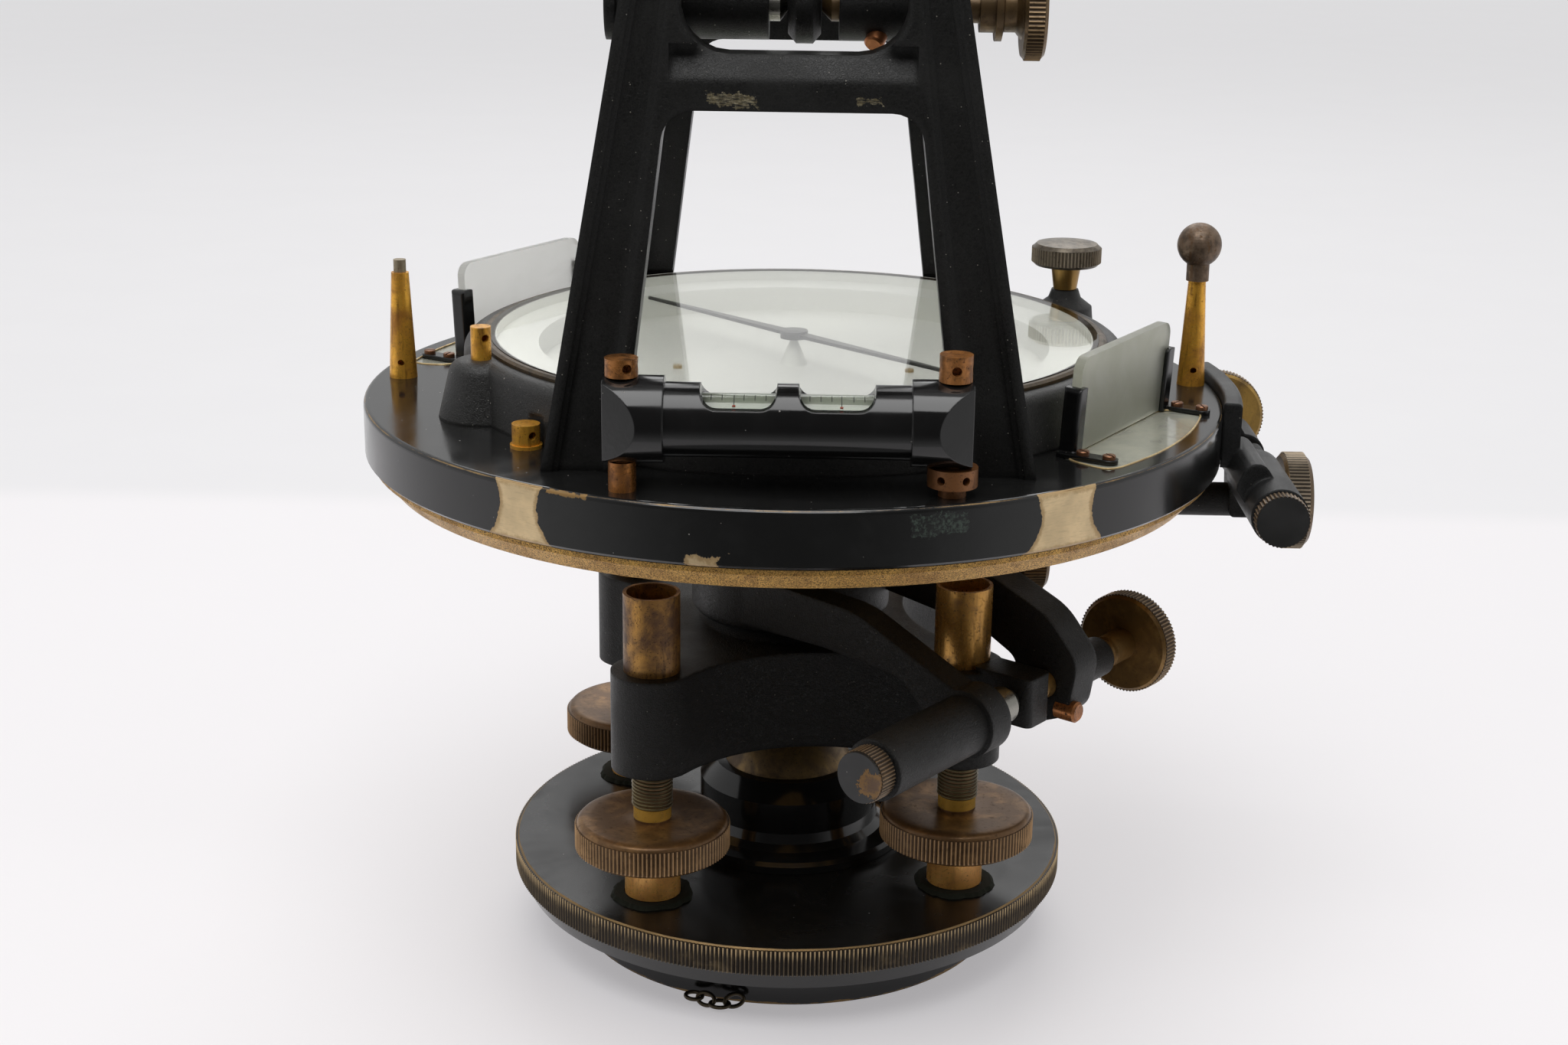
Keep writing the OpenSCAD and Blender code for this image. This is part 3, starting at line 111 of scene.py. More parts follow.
class Value:
    """A number socket of a shader tree, so that masks are written as plain sums."""

    def __init__(self, recipe: "Recipe", socket: Socket) -> None:
        """Wraps an output socket of the recipe's tree."""
        self.recipe = recipe
        self.socket = socket

    def math(self, operation: str, *others: Any, clamp: bool = False) -> "Value":
        """Returns the result of a Math node on this value and others.

        Args:
            operation: the Math node's operation.
            others: further values or numbers.
            clamp: whether the result is kept between 0 and 1.

        Returns:
            The node's result.
        """
        pins = dict(zip(("Value", "Value_001", "Value_002"), (self, *others)))
        node = self.recipe.add("ShaderNodeMath", {"operation": operation, "use_clamp": clamp}, pins)
        return Value(self.recipe, node.outputs[0])

    def __add__(self, other: Any) -> "Value":
        """Sum."""
        return self.math("ADD", other)

    def __sub__(self, other: Any) -> "Value":
        """Difference."""
        return self.math("SUBTRACT", other)

    def __rsub__(self, other: Any) -> "Value":
        """Difference, reflected."""
        node = self.recipe.add("ShaderNodeMath", {"operation": "SUBTRACT"},
                               {"Value": other, "Value_001": self})
        return Value(self.recipe, node.outputs[0])

    def __mul__(self, other: Any) -> "Value":
        """Product."""
        return self.math("MULTIPLY", other)

    def __rmul__(self, other: Any) -> "Value":
        """Product, reflected."""
        return self.math("MULTIPLY", other)

    def __truediv__(self, other: Any) -> "Value":
        """Quotient."""
        return self.math("DIVIDE", other)

    def __or__(self, other: Any) -> "Value":
        """Union of two masks: the larger value."""
        return self.math("MAXIMUM", other)

    def ramp(self, low: float, high: float, first: float = 0.0, last: float = 1.0) -> "Value":
        """Returns a smooth step from first at low to last at high.

        Args:
            low: the value where the step starts.
            high: the value where the step ends.
            first: the result at low.
            last: the result at high.

        Returns:
            The step's result.
        """
        node = self.recipe.add("ShaderNodeMapRange", {"interpolation_type": "SMOOTHSTEP"},
                               {"Value": self, "From Min": low, "From Max": high,
                                "To Min": first, "To Max": last})
        return Value(self.recipe, node.outputs[0])


class Recipe:
    """Builds one material: coordinates, textures, masks and a Principled shader."""

    def __init__(self, name: str) -> None:
        """Starts a material with a Principled shader and an output."""
        self.material = bpy.data.materials.new(name)
        self.material.use_nodes = True
        self.nodes = self.material.node_tree.nodes
        self.links = self.material.node_tree.links
        self.nodes.clear()
        self.output = self.nodes.new("ShaderNodeOutputMaterial")
        self.shader = self.add("ShaderNodeBsdfPrincipled")
        self.links.new(self.shader.outputs[0], self.output.inputs[0])
        self._place: Socket | None = None

    def add(self, kind: str, settings: dict[str, Any] | None = None,
            pins: dict[str, Any] | None = None) -> bpy.types.Node:
        """Adds a node, sets its settings first and then its sockets.

        Args:
            kind: the node's type.
            settings: attributes of the node; 'stops' are a ramp's (position, colour) pairs.
            pins: values or links of its input sockets, by identifier.

        Returns:
            The node.
        """
        node = self.nodes.new(kind)
        for key, value in (settings or {}).items():
            if key == "stops":
                for i, (at, colour) in enumerate(value):
                    stop = node.color_ramp.elements[i] if i < 2 else node.color_ramp.elements.new(at)
                    stop.position, stop.color = at, (*colour, 1)
            else:
                setattr(node, key, value)
        for key, value in (pins or {}).items():
            self.pin(node, key, value)
        return node

    def pin(self, node: bpy.types.Node, key: str, value: Any) -> None:
        """Links or sets one input socket of a node."""
        socket = next(s for s in node.inputs if s.identifier == key)
        if isinstance(value, Value):
            value = value.socket
        if isinstance(value, Socket):
            self.links.new(value, socket)
        elif isinstance(value, (tuple, list)) and socket.type == "RGBA":
            socket.default_value = (*value[:3], 1)
        else:
            socket.default_value = value

    @property
    def place(self) -> Socket:
        """The point on the object, in millimetres."""
        if self._place is None:
            coords = self.add("ShaderNodeTexCoord").outputs["Object"]
            self._place = self.add("ShaderNodeVectorMath", {"operation": "SCALE"},
                                   {"Vector": coords, "Scale": 1000.0}).outputs[0]
        return self._place

    def split(self, vector: Socket | None = None) -> tuple[Value, Value, Value]:
        """Returns the three components of a vector, by default of the place."""
        node = self.add("ShaderNodeSeparateXYZ", None, {"Vector": vector or self.place})
        return tuple(Value(self, out) for out in node.outputs)

    def stretched(self, x: float, y: float, z: float) -> Socket:
        """Returns the place with each axis scaled, for grain that runs one way."""
        return self.add("ShaderNodeVectorMath", {"operation": "MULTIPLY"},
                        {"Vector": self.place, "Vector_001": (x, y, z)}).outputs[0]

    def noise(self, size: float, detail: float = 3.0, rough: float = 0.55, warp: float = 0.0,
              at: Socket | None = None) -> Value:
        """Returns soft noise whose lumps are about a size in millimetres.

        Args:
            size: the size of a lump.
            detail: the number of finer octaves.
            rough: how strong the finer octaves are.
            warp: how much the lumps are twisted.
            at: the point to read, by default the place.

        Returns:
            The noise, from 0 to 1.
        """
        node = self.add("ShaderNodeTexNoise", None, {
            "Vector": at or self.place, "Scale": 1 / size, "Detail": detail, "Roughness": rough,
            "Distortion": warp})
        return Value(self, node.outputs[0])

    def cells(self, size: float) -> tuple[Value, Value]:
        """Returns the distance to the nearest of scattered points and a random number of it."""
        node = self.add("ShaderNodeTexVoronoi", None, {"Vector": self.place, "Scale": 1 / size})
        return Value(self, node.outputs[0]), self.split(node.outputs[1])[0]

    def specks(self, size: float, dot: float, share: float) -> Value:
        """Returns a mask of small round specks.

        Args:
            size: the distance between two places that may hold a speck, in millimetres.
            dot: the radius of a speck, in millimetres.
            share: the part of those places that holds one.

        Returns:
            The mask.
        """
        distance, chance = self.cells(size)
        held = chance.ramp(share, share - 0.02)
        reach = chance * (dot / size / max(share, 0.01))
        return (distance - reach).ramp(dot * 0.3 / size, 0.0) * held

    def blend(self, factor: Any, first: Any, second: Any, mode: str = "MIX") -> Socket:
        """Returns a mix of two colours.

        Args:
            factor: the second colour's share.
            first: a colour or its socket.
            second: a colour or its socket.
            mode: the Mix node's blend type.

        Returns:
            The mixed colour's socket.
        """
        node = self.add("ShaderNodeMix", {"data_type": "RGBA", "blend_type": mode},
                        {"Factor_Float": factor, "A_Color": first, "B_Color": second})
        return next(s for s in node.outputs if s.identifier == "Result_Color")

    def bump(self, height: Value, depth: float,
             under: Socket | None = None) -> Socket:
        """Returns a normal raised by a height, whose full depth is in millimetres."""
        pins = {"Height": height, "Distance": depth * MM, "Strength": 1.0}
        if under is not None:
            pins["Normal"] = under
        return self.add("ShaderNodeBump", None, pins).outputs[0]

    def soft_edges(self, radius: float) -> Socket:
        """Returns a normal that rounds the edges of a casting by a radius in millimetres."""
        return self.add("ShaderNodeBevel", {"samples": 6}, {"Radius": radius * MM}).outputs[0]

    def wear(self, regions: Sequence["Wear"], fade: float = 0.08) -> Value | None:
        """Returns the union of the worn regions, with ragged edges.

        Args:
            regions: the regions.
            fade: how far inside a patch or box the mask becomes full, in millimetres.

        Returns:
            The mask, or None where there are none.
        """
        if not regions:
            return None
        x, y, z = self.split()
        radius = (x * x + y * y).math("SQRT")
        ragged = self.noise(2.6, 3, 0.6, 0.3) + self.noise(0.8, 5, 0.72, 0.6) * 0.8 - 0.9
        coarse = self.noise(9.0, 2, 0.5)
        total: Value | None = None
        for region in regions:
            if region.kind is Surface.RING:
                away = ((radius - region.low[0]).math("POWER", 2)
                        + (z - region.low[2]).math("POWER", 2)).math("SQRT")
                least = 0.7 if region.raggedness < 1 else 0.0
                width = coarse.ramp(0.35, 0.7, least) * region.high[0]
                mask = (away + ragged * (region.high[0] * region.raggedness) - width).ramp(0.12, -0.05)
            else:
                if region.kind is Surface.RIM_PATCH:
                    span = region.high[2] - region.low[2]
                    narrowest = region.low[2] + span * 0.62
                    swell = ((z - narrowest) * (2 / span)).math("POWER", 2)
                    centre = math.radians(region.low[0] + region.high[0]) / 2 * region.reach
                    around = y.math("ARCTAN2", x) * region.reach - centre
                    half = math.radians(region.high[0] - region.low[0]) / 2 * region.reach
                    lows, highs = [-half, region.low[2]], [half, region.high[2]]
                    axes = [around / (swell * region.waist + (1 - region.waist)), z]
                else:
                    lows, highs, axes = list(region.low), list(region.high), [x, y, z]
                inside: Value | None = None
                for axis, low, high in zip(axes, lows, highs):
                    edge = (axis - (low + high) / 2).math("ABSOLUTE") - (high - low) / 2
                    inside = edge if inside is None else inside.math("MAXIMUM", edge)
                mask = (inside + ragged * region.raggedness).ramp(0.08, -fade)
                if region.kind is Surface.RIM_PATCH:
                    mask = mask * (radius - region.reach).ramp(-0.75, -0.55)
            total = mask if total is None else total | mask
        return total

    def let_light_through(self, tint: Colour) -> None:
        """Makes the piece's own shadow a clear tint, so that lamps light what lies behind glass."""
        path = self.add("ShaderNodeLightPath")
        clear = self.add("ShaderNodeBsdfTransparent", None, {"Color": tint})
        mixed = self.add("ShaderNodeMixShader")
        self.links.new(path.outputs["Is Shadow Ray"], mixed.inputs[0])
        self.links.new(self.shader.outputs[0], mixed.inputs[1])
        self.links.new(clear.outputs[0], mixed.inputs[2])
        self.links.new(mixed.outputs[0], self.output.inputs[0])

    def finish(self, colour: Any, rough: Any, metal: Any = 0.0,
               normal: Socket | None = None, **fixed: float) -> bpy.types.Material:
        """Sets the shader's sockets and returns the material.

        Args:
            colour: the base colour.
            rough: the roughness.
            metal: the metallic share.
            normal: the bumped normal.
            fixed: constants for other sockets, with _ for a space.

        Returns:
            The material.
        """
        self.pin(self.shader, "Base Color", colour)
        self.pin(self.shader, "Roughness", rough)
        self.pin(self.shader, "Metallic", metal)
        if normal is not None:
            self.pin(self.shader, "Normal", normal)
        for key, value in fixed.items():
            self.pin(self.shader, key.replace("_", " "), value)
        return self.material


# Finishes


@dataclass(frozen=True)
class Wear:
    """A region where the lacquer has gone: a ring, a patch on a rim or a box.

    A ring has (radius, 0, height) as low and (width, 0, 0) as high. A rim patch has
    (azimuth, 0, height) corners on a rim of radius reach, and waist is the share of its width
    that it loses a little above its middle. A box has two corners. Raggedness is how far the
    edge wanders, and a ring with less than 1 has no gaps.
    """

    kind: Surface
    low: Point
    high: Point
    reach: float = 0.0
    raggedness: float = 1.6
    waist: float = 0.0


class Finish:
    """A finish that makes its material once."""

    _made: dict[Any, bpy.types.Material] = {}

    def material(self) -> bpy.types.Material:
        """Returns the finish's material, made at the first call."""
        if self not in Finish._made:
            Finish._made[self] = self.make()
        return Finish._made[self]

    def make(self) -> bpy.types.Material:
        """Builds the material."""
        raise NotImplementedError


@dataclass(frozen=True)
class GlossLacquer(Finish):
    """Smooth black lacquer with smudges, dust, worn patches and thin golden edges."""

    name: str = "gloss_lacquer"
    tone: Colour = (0.0062, 0.0060, 0.0058)
    rough: float = 0.15
    dust: float = 0.16
    worn: tuple[Wear, ...] = ()
    edges: tuple[Wear, ...] = ()
    verdigris: tuple[Wear, ...] = ()
    bare: Colour = (0.60, 0.44, 0.24)
    soft: float = 0.0

    def make(self) -> bpy.types.Material:
        """Builds the material."""
        r = Recipe(self.name)
        smudge = r.noise(22, 4, 0.6, 0.6)
        dust = r.specks(2.0, 0.14, self.dust)
        film = r.noise(6, 5, 0.65).ramp(0.45, 0.75)
        colour = r.blend(film * 0.35, self.tone, times(self.tone, 2.4))
        colour = r.blend(dust * 0.8, colour, (0.32, 0.30, 0.28))
        rough = smudge.ramp(0.3, 0.75, self.rough * 0.7, self.rough * 1.7) + dust * 0.4
        metal: Any = 0.0
        height = r.noise(1.1, 2, 0.5) * 0.25 + dust
        for regions, bare in ((self.worn, self.bare), (self.edges, (0.30, 0.19, 0.075))):
            worn = r.wear(regions)
            if worn is None:
                continue
            brushed = r.noise(0.4, 4, 0.65, at=r.stretched(0.18, 0.18, 1.4))
            cloud = r.noise(5.5, 3, 0.55)
            brass = r.blend(cloud.ramp(0.35, 0.7), times(bare, 0.8), bare)
            brass = r.blend(brushed.ramp(0.48, 0.75) * 0.32, brass, times(bare, 0.45))
            brass = r.blend(r.wear(regions, 2.4).ramp(0.75, 0.05) * 0.6, brass, (0.30, 0.165, 0.05))
            colour = r.blend(worn, colour, brass)
            rough = rough + worn * 0.25
            metal = worn * 0.45 + metal
            height = height - worn * 1.6
        green = r.wear(self.verdigris)
        if green is not None:
            mottle = r.noise(0.7, 5, 0.75).ramp(0.45, 0.62) * green
            colour = r.blend(mottle * 0.6, colour, (0.085, 0.12, 0.095))
            rough = rough + green * 0.2
        under = r.soft_edges(self.soft) if self.soft else None
        return r.finish(colour, rough, metal, r.bump(height, 0.02, under))


@dataclass(frozen=True)
class CrinkleLacquer(Finish):
    """Black crinkle lacquer: fine wrinkles with painted shade in their hollows and a painted highlight on
    their crests, a satin sheen, and dust specks.
    """

    name: str = "crinkle_lacquer"
    tone: Colour = (0.0085, 0.0083, 0.0078)
    size: float = 0.5
    depth: float = 0.035
    rough: float = 0.40
    dust: float = 0.22
    worn: tuple[Wear, ...] = ()
    soft: float = 1.0
    sheen: float = 0.30

    def make(self) -> bpy.types.Material:
        """Builds the material."""
        r = Recipe(self.name)
        wrinkle = r.noise(self.size, 3, 0.6, 1.4).ramp(0.32, 0.68)
        patchy = r.noise(17, 3, 0.6)
        dust = r.specks(3.1, 0.17, self.dust)
        fine = r.specks(1.0, 0.10, self.dust * 1.3)
        # Painted shade and highlight: the colour follows the wrinkle height, darker in the hollows and
        # lighter on the crests.
        colour = r.blend(wrinkle, times(self.tone, 0.6), times(self.tone, 1.35))
        colour = r.blend(patchy.ramp(0.5, 0.8) * 0.4, colour, times(self.tone, 2.2))
        colour = r.blend((dust | fine) * 0.75, colour, (0.33, 0.31, 0.27))
        rough = patchy.ramp(0.3, 0.7, self.rough - 0.06, self.rough + 0.1) + dust * 0.3
        height = wrinkle + dust * 0.8
        metal: Any = 0.0
        worn = r.wear(self.worn)
        if worn is not None:
            scratches = r.noise(0.5, 5, 0.75, at=r.stretched(0.22, 1.0, 1.5)).ramp(0.38, 0.58)
            bare = worn * scratches
            brass = r.blend(r.noise(0.9, 4, 0.7).ramp(0.4, 0.7), (0.13, 0.105, 0.055), (0.34, 0.30, 0.20))
            colour = r.blend(bare, colour, brass)
            metal = bare * 0.35
            height = height - bare * 0.8
        return r.finish(colour, rough, metal, r.bump(height, self.depth, r.soft_edges(self.soft)),
                        Specular_IOR_Level=self.sheen)


@dataclass(frozen=True)
class AgedBrass(Finish):
    """Golden brass gone brown in patches, with dark specks and streaks."""

    name: str = "aged_brass"
    bright: Colour = (0.42, 0.235, 0.05)
    dark: Colour = (0.10, 0.055, 0.018)
    speckle: float = 0.25
    streaks: float = 0.4
    shiny: float = 0.30
    metal: float = 0.8
    lie: float = 0.5
    split_height: float = 0.0
    upper: Colour = (0.0, 0.0, 0.0)
    left_upper: Colour | None = None
    brighter_right: float = 0.0
    grain: float = 1.0
    upper_rough: float = 0.0

    def make(self) -> bpy.types.Material:
        """Builds the material."""
        r = Recipe(self.name)
        cover = r.noise(7, 5, 0.65, 0.5)
        if self.brighter_right:
            cover = cover - r.split()[0].ramp(-30, 30) * self.brighter_right
        tarnish = cover.ramp(self.lie - 0.18, self.lie + 0.22)
        streak = r.noise(1.3, 4, 0.65, at=r.stretched(1.0, 1.0, 0.12)).ramp(0.5, 0.75)
        pits = r.specks(0.75 * self.grain, 0.16 * self.grain, self.speckle)
        blots = r.noise(0.55 * self.grain, 4, 0.7, 0.8).ramp(
            0.66 - self.speckle * 0.22, 0.72 - self.speckle * 0.2)
        colour = r.blend(tarnish, self.bright, self.dark)
        rough = tarnish.ramp(0, 1, self.shiny, self.shiny + 0.18) + (pits | blots) * 0.15
        if self.split_height:
            z = r.split()[2]
            over = (z - self.split_height).ramp(-0.05, 0.05)
            mottled = r.blend(r.noise(1.8, 4, 0.6).ramp(0.35, 0.7), self.upper,
                              times(self.upper, 0.42))
            if self.left_upper is not None:
                mottled = r.blend(r.split()[0].ramp(5, -5), mottled, self.left_upper)
            colour = r.blend(over, colour, mottled)
            rough = rough + over * self.upper_rough
        colour = r.blend(streak * self.streaks, colour, times(self.dark, 0.35))
        colour = r.blend((pits | blots) * min(1.0, 0.35 + self.speckle), colour,
                         times(self.dark, 0.3))
        metal = tarnish.ramp(0, 1, self.metal * 0.72, self.metal * 0.42)
        height = 1 - (pits | blots) * 0.8 + r.noise(0.4, 2) * 0.2
        return r.finish(colour, rough, metal, r.bump(height, 0.015))


@dataclass(frozen=True)
class BronzedBrass(Finish):
    """Brown bronzed brass, lighter where fingers and edges have rubbed it."""

    name: str = "bronzed_brass"
    base: Colour = (0.075, 0.050, 0.031)
    rubbed: Colour = (0.30, 0.22, 0.15)
    wear: float = 0.45
    rough: float = 0.42
    knurled: bool = False
    bright_from: float = 0.0
    bright_to: float = 0.0
    band: tuple[float, float] | None = None
    crest_from: float = 0.35

    def make(self) -> bpy.types.Material:
        """Builds the material."""
        r = Recipe(self.name)
        cloud = r.noise(6, 5, 0.62, 0.4)
        grime = r.noise(1.2, 4, 0.7).ramp(0.52, 0.75)
        rub = cloud.ramp(0.60 - self.wear * 0.35, 0.95 - self.wear * 0.2)
        if self.knurled:
            crest = Value(r, r.add("ShaderNodeAttribute", {"attribute_name": "crest"}).outputs["Fac"])
            top: Any = 0.45 + self.wear * 0.5
            least: Any = self.crest_from
            if self.bright_to:
                top = r.split()[2].ramp(self.bright_from, self.bright_to, 0.25, 1.0)
                least = r.split()[2].ramp(self.bright_from, self.bright_to, self.crest_from,
                                          self.crest_from - 0.3)
            rub = (rub * 0.3 + crest.ramp(least, 1.0) * top).math("MINIMUM", 1.0)
        colour = r.blend(rub, self.base, self.rubbed)
        colour = r.blend(grime * 0.55, colour, times(self.base, 0.3))
        rough = grime.ramp(0, 1, self.rough, self.rough + 0.2)
        if self.band is not None:
            z = r.split()[2]
            golden = z.ramp(self.band[0] - 0.1, self.band[0] + 0.1) \
                * z.ramp(self.band[1] + 0.1, self.band[1] - 0.1)
            colour = r.blend(golden, colour, r.blend(grime, (0.85, 0.52, 0.10), (0.30, 0.18, 0.045)))
            rough = rough - golden * 0.18
        return r.finish(colour, rough, 0.45, r.bump(r.noise(0.5, 3, 0.6) - grime * 0.4, 0.02))


@dataclass(frozen=True)
class PlainMetal(Finish):
    """Steel, copper or silvered brass with a fine grain."""

    name: str = "steel"
    tone: Colour = (0.42, 0.41, 0.40)
    rough: float = 0.28
    metal: float = 1.0
    grain: float = 0.3
    stain: Colour = (0.10, 0.085, 0.07)

    def make(self) -> bpy.types.Material:
        """Builds the material."""
        r = Recipe(self.name)
        grain = r.noise(0.35, 3, 0.6, at=r.stretched(0.3, 0.3, 2.0))
        spots = r.noise(2.4, 5, 0.7).ramp(0.58, 0.78)
        colour = r.blend(grain * self.grain, self.tone, times(self.tone, 0.7))
        colour = r.blend(spots * self.grain, colour, self.stain)
        return r.finish(colour, grain.ramp(0.2, 0.8, self.rough - 0.06, self.rough + 0.08),
                        self.metal, r.bump(grain, 0.006))


@dataclass(frozen=True)
class ClearGlass(Finish):
    """Clear glass with a faint film of dust."""

    name: str = "clear_glass"
    tint: Colour = (0.955, 0.96, 0.94)
    rough: float = 0.02
    film: float = 0.06

    def make(self) -> bpy.types.Material:
        """Builds the material."""
        r = Recipe(self.name)
        film = r.noise(14, 5, 0.6).ramp(0.45, 0.8)
        dust = r.specks(3.4, 0.09, 0.2)
        rough = film * self.film + dust * 0.5 + self.rough
        made = r.finish(r.blend(dust, self.tint, (0.5, 0.5, 0.48)), rough, 0.0,
                        r.bump(dust, 0.01), Transmission_Weight=1.0, IOR=1.5)
        r.let_light_through(self.tint)
        return made


@dataclass(frozen=True)
class FrostedGlass(Finish):
    """Ground glass with a green edge tint and soft wiping marks, and a painted backlight that can whiten
    its left side.
    """

    name: str = "frosted_glass"
    tint: Colour = (0.47, 0.475, 0.405)
    pale: Colour = (0.66, 0.66, 0.60)
    rough: float = 0.42
    through: float = 0.35
    dust: float = 0.2
    left: float = 0.0

    def make(self) -> bpy.types.Material:
        """Builds the material."""
        r = Recipe(self.name)
        cloud = r.noise(10, 4, 0.6, 0.4)
        wipe = r.noise(1.4, 4, 0.6, at=r.stretched(0.4, 0.4, 1.6))
        grit = r.specks(2.2, 0.09, self.dust)
        colour = r.blend((cloud * 0.7 + wipe * 0.3).ramp(0.35, 0.7), self.tint, self.pale)
        # Painted backlight: the side at negative x, the left reflector, is blended towards near white as
        # if lit from behind.
        if self.left:
            colour = r.blend(r.split()[0].ramp(10, -10) * self.left, colour, (1.0, 1.0, 0.96))
        colour = r.blend(grit * 0.8, colour, (0.12, 0.11, 0.09))
        rough = wipe.ramp(0.3, 0.7, self.rough - 0.07, self.rough + 0.08)
        return r.finish(colour, rough, 0.0, r.bump(r.noise(0.25, 2), 0.004),
                        Transmission_Weight=self.through, IOR=1.5)


@dataclass(frozen=True)
class Felt(Finish):
    """Dark green felt, matted and dusty."""

    name: str = "felt"
    tone: Colour = (0.017, 0.019, 0.0105)

    def make(self) -> bpy.types.Material:
        """Builds the material."""
        r = Recipe(self.name)
        fibre = r.noise(0.5, 5, 0.75, 1.2)
        lint = r.specks(1.6, 0.1, 0.3)
        colour = r.blend(fibre, times(self.tone, 0.5), times(self.tone, 1.8))
        colour = r.blend(lint * 0.5, colour, (0.2, 0.19, 0.16))
        return r.finish(colour, 0.95, 0.0, r.bump(fibre, 0.12))


# Geometry building


class Tree:
    """A Geometry Nodes tree with named inputs that ends in Realize Instances and Set Material.

    Each kind of tree has a name, and its inputs with their default values, in metres. An input
    without one takes an object.
    """

    name = ""
    inputs: dict[str, float | None] = {}

    def __init__(self) -> None:
        """Makes the tree's sockets and nodes."""
        self.group = bpy.data.node_groups.new(self.name, "GeometryNodeTree")
        face = self.group.interface
        face.new_socket("Geometry", in_out="INPUT", socket_type="NodeSocketGeometry")
        face.new_socket("Geometry", in_out="OUTPUT", socket_type="NodeSocketGeometry")
        kinds = {int: "NodeSocketInt", float: "NodeSocketFloat", type(None): "NodeSocketObject"}
        self.keys: dict[str, str] = {}
        for label, value in self.inputs.items():
            socket = face.new_socket(label, in_out="INPUT", socket_type=kinds[type(value)])
            if value is not None:
                socket.default_value = value
            self.keys[label] = socket.identifier
        material = face.new_socket("Material", in_out="INPUT", socket_type="NodeSocketMaterial")
        self.keys["Material"] = material.identifier
        self.source = self.group.nodes.new("NodeGroupInput")
        self.end(self.design())

    def design(self) -> Socket:
        """Builds the nodes and returns the geometry's socket."""
        raise NotImplementedError

    def pin(self, label: str) -> Socket:
        """Returns an input of the tree by its name."""
        return self.source.outputs[label]

    def add(self, kind: str, settings: dict[str, Any] | None = None, out: int = 0,
            **pins: Any) -> Socket:
        """Adds a node and returns one of its outputs.

        Args:
            kind: the node's type.
            settings: attributes of the node.
            out: the number of the output.
            pins: values or links of its sockets by identifier, with _ for a space.

        Returns:
            The output socket.
        """
        node = self.group.nodes.new(kind)
        for key, value in (settings or {}).items():
            setattr(node, key, value)
        for key, value in pins.items():
            names = (key, key.replace("_", " "))
            socket = next(s for s in node.inputs if s.identifier in names)
            if isinstance(value, Socket):
                self.group.links.new(value, socket)
            else:
                socket.default_value = value
        return node.outputs[out]

    def calc(self, operation: str, first: Any, second: Any = 0.0) -> Socket:
        """Returns the result of a Math node."""
        return self.add("ShaderNodeMath", {"operation": operation}, Value=first, Value_001=second)

    def vector(self, x: Any = 0.0, y: Any = 0.0, z: Any = 0.0) -> Socket:
        """Returns a vector made of three numbers."""
        return self.add("ShaderNodeCombineXYZ", X=x, Y=y, Z=z)

    def end(self, shape: Socket) -> None:
        """Realizes the instances, sets the material and closes the tree."""
        real = self.add("GeometryNodeRealizeInstances", Geometry=shape)
        done = self.add("GeometryNodeSetMaterial", Geometry=real, Material=self.pin("Material"))
        sink = self.group.nodes.new("NodeGroupOutput")
        self.group.links.new(done, sink.inputs[0])

    def run(self, name: str, finish: Finish, start: bpy.types.Mesh | None = None,
            place: Matrix | None = None, **values: Any) -> bpy.types.Object:
        """Runs the tree and returns its result as an object with a plain mesh.

        Args:
            name: the new object's name.
            finish: its finish.
            start: the mesh that the tree starts from.
            place: where the result goes, as a matrix in metres.
            values: values of the tree's inputs, with _ for a space.

        Returns:
            The object, at the origin, with its place in its mesh.
        """
        seed = bpy.data.objects.new(name + "_seed", start or bpy.data.meshes.new(name + "_seed"))
        bpy.context.scene.collection.objects.link(seed)
        modifier = seed.modifiers.new("tree", "NODES")
        modifier.node_group = self.group
        modifier[self.keys["Material"]] = finish.material()
        for label, value in values.items():
            modifier[self.keys[label.replace("_", " ")]] = value
        graph = bpy.context.evaluated_depsgraph_get()
        mesh = bpy.data.meshes.new_from_object(seed.evaluated_get(graph),
                                               preserve_all_data_layers=True, depsgraph=graph)
        seed.modifiers.remove(modifier)
        bpy.data.objects.remove(seed)
        mesh.name = name
        if place is not None:
            mesh.transform(place)
        return put(name, mesh)


class KnurlTree(Tree):
    """Straight knurling: wedge-shaped teeth round a cylinder about Z, from 0 upwards."""

    name = "knurl"
    inputs = {"Count": 100, "Radius": 0.01, "Length": 0.005, "Depth": 0.0003}

    def design(self) -> Socket:
        """Builds the nodes and returns the geometry's socket."""
        count, radius = self.pin("Count"), self.pin("Radius")
        length, depth = self.pin("Length"), self.pin("Depth")
        circle = self.add("GeometryNodeMeshCircle", Vertices=count, Radius=radius)
        turn = self.calc("MULTIPLY", self.add("GeometryNodeInputIndex"),
                         self.calc("DIVIDE", 2 * math.pi, count))
        pitch = self.calc("DIVIDE", self.calc("MULTIPLY", radius, 2 * math.pi), count)
        cube = self.add("GeometryNodeMeshCube", Size=(1.0, 1.0, 1.0))
        edge_out = self.add("GeometryNodeTransform", Geometry=cube, Rotation=(0, 0, math.pi / 4))
        tooth = self.add("GeometryNodeTransform", Geometry=edge_out, Scale=self.vector(
            self.calc("MULTIPLY", depth, math.sqrt(2)),
            self.calc("MULTIPLY", pitch, math.sqrt(0.5)), length),
            Translation=self.vector(z=self.calc("MULTIPLY", length, 0.5)))
        rotation = self.add("FunctionNodeEulerToRotation", Euler=self.vector(z=turn))
        teeth = self.add("GeometryNodeInstanceOnPoints", Points=circle, Instance=tooth,
                         Rotation=rotation)
        real = self.add("GeometryNodeRealizeInstances", Geometry=teeth)
        spot = self.add("GeometryNodeInputPosition")
        flat = self.add("ShaderNodeVectorMath", {"operation": "MULTIPLY"}, Vector=spot,
                        Vector_001=(1.0, 1.0, 0.0))
        reach = self.add("ShaderNodeVectorMath", {"operation": "LENGTH"}, out=1, Vector=flat)
        crest = self.calc("DIVIDE", self.calc("SUBTRACT", reach, radius), depth)
        return self.add("GeometryNodeStoreNamedAttribute", Geometry=real, Name="crest", Value=crest)


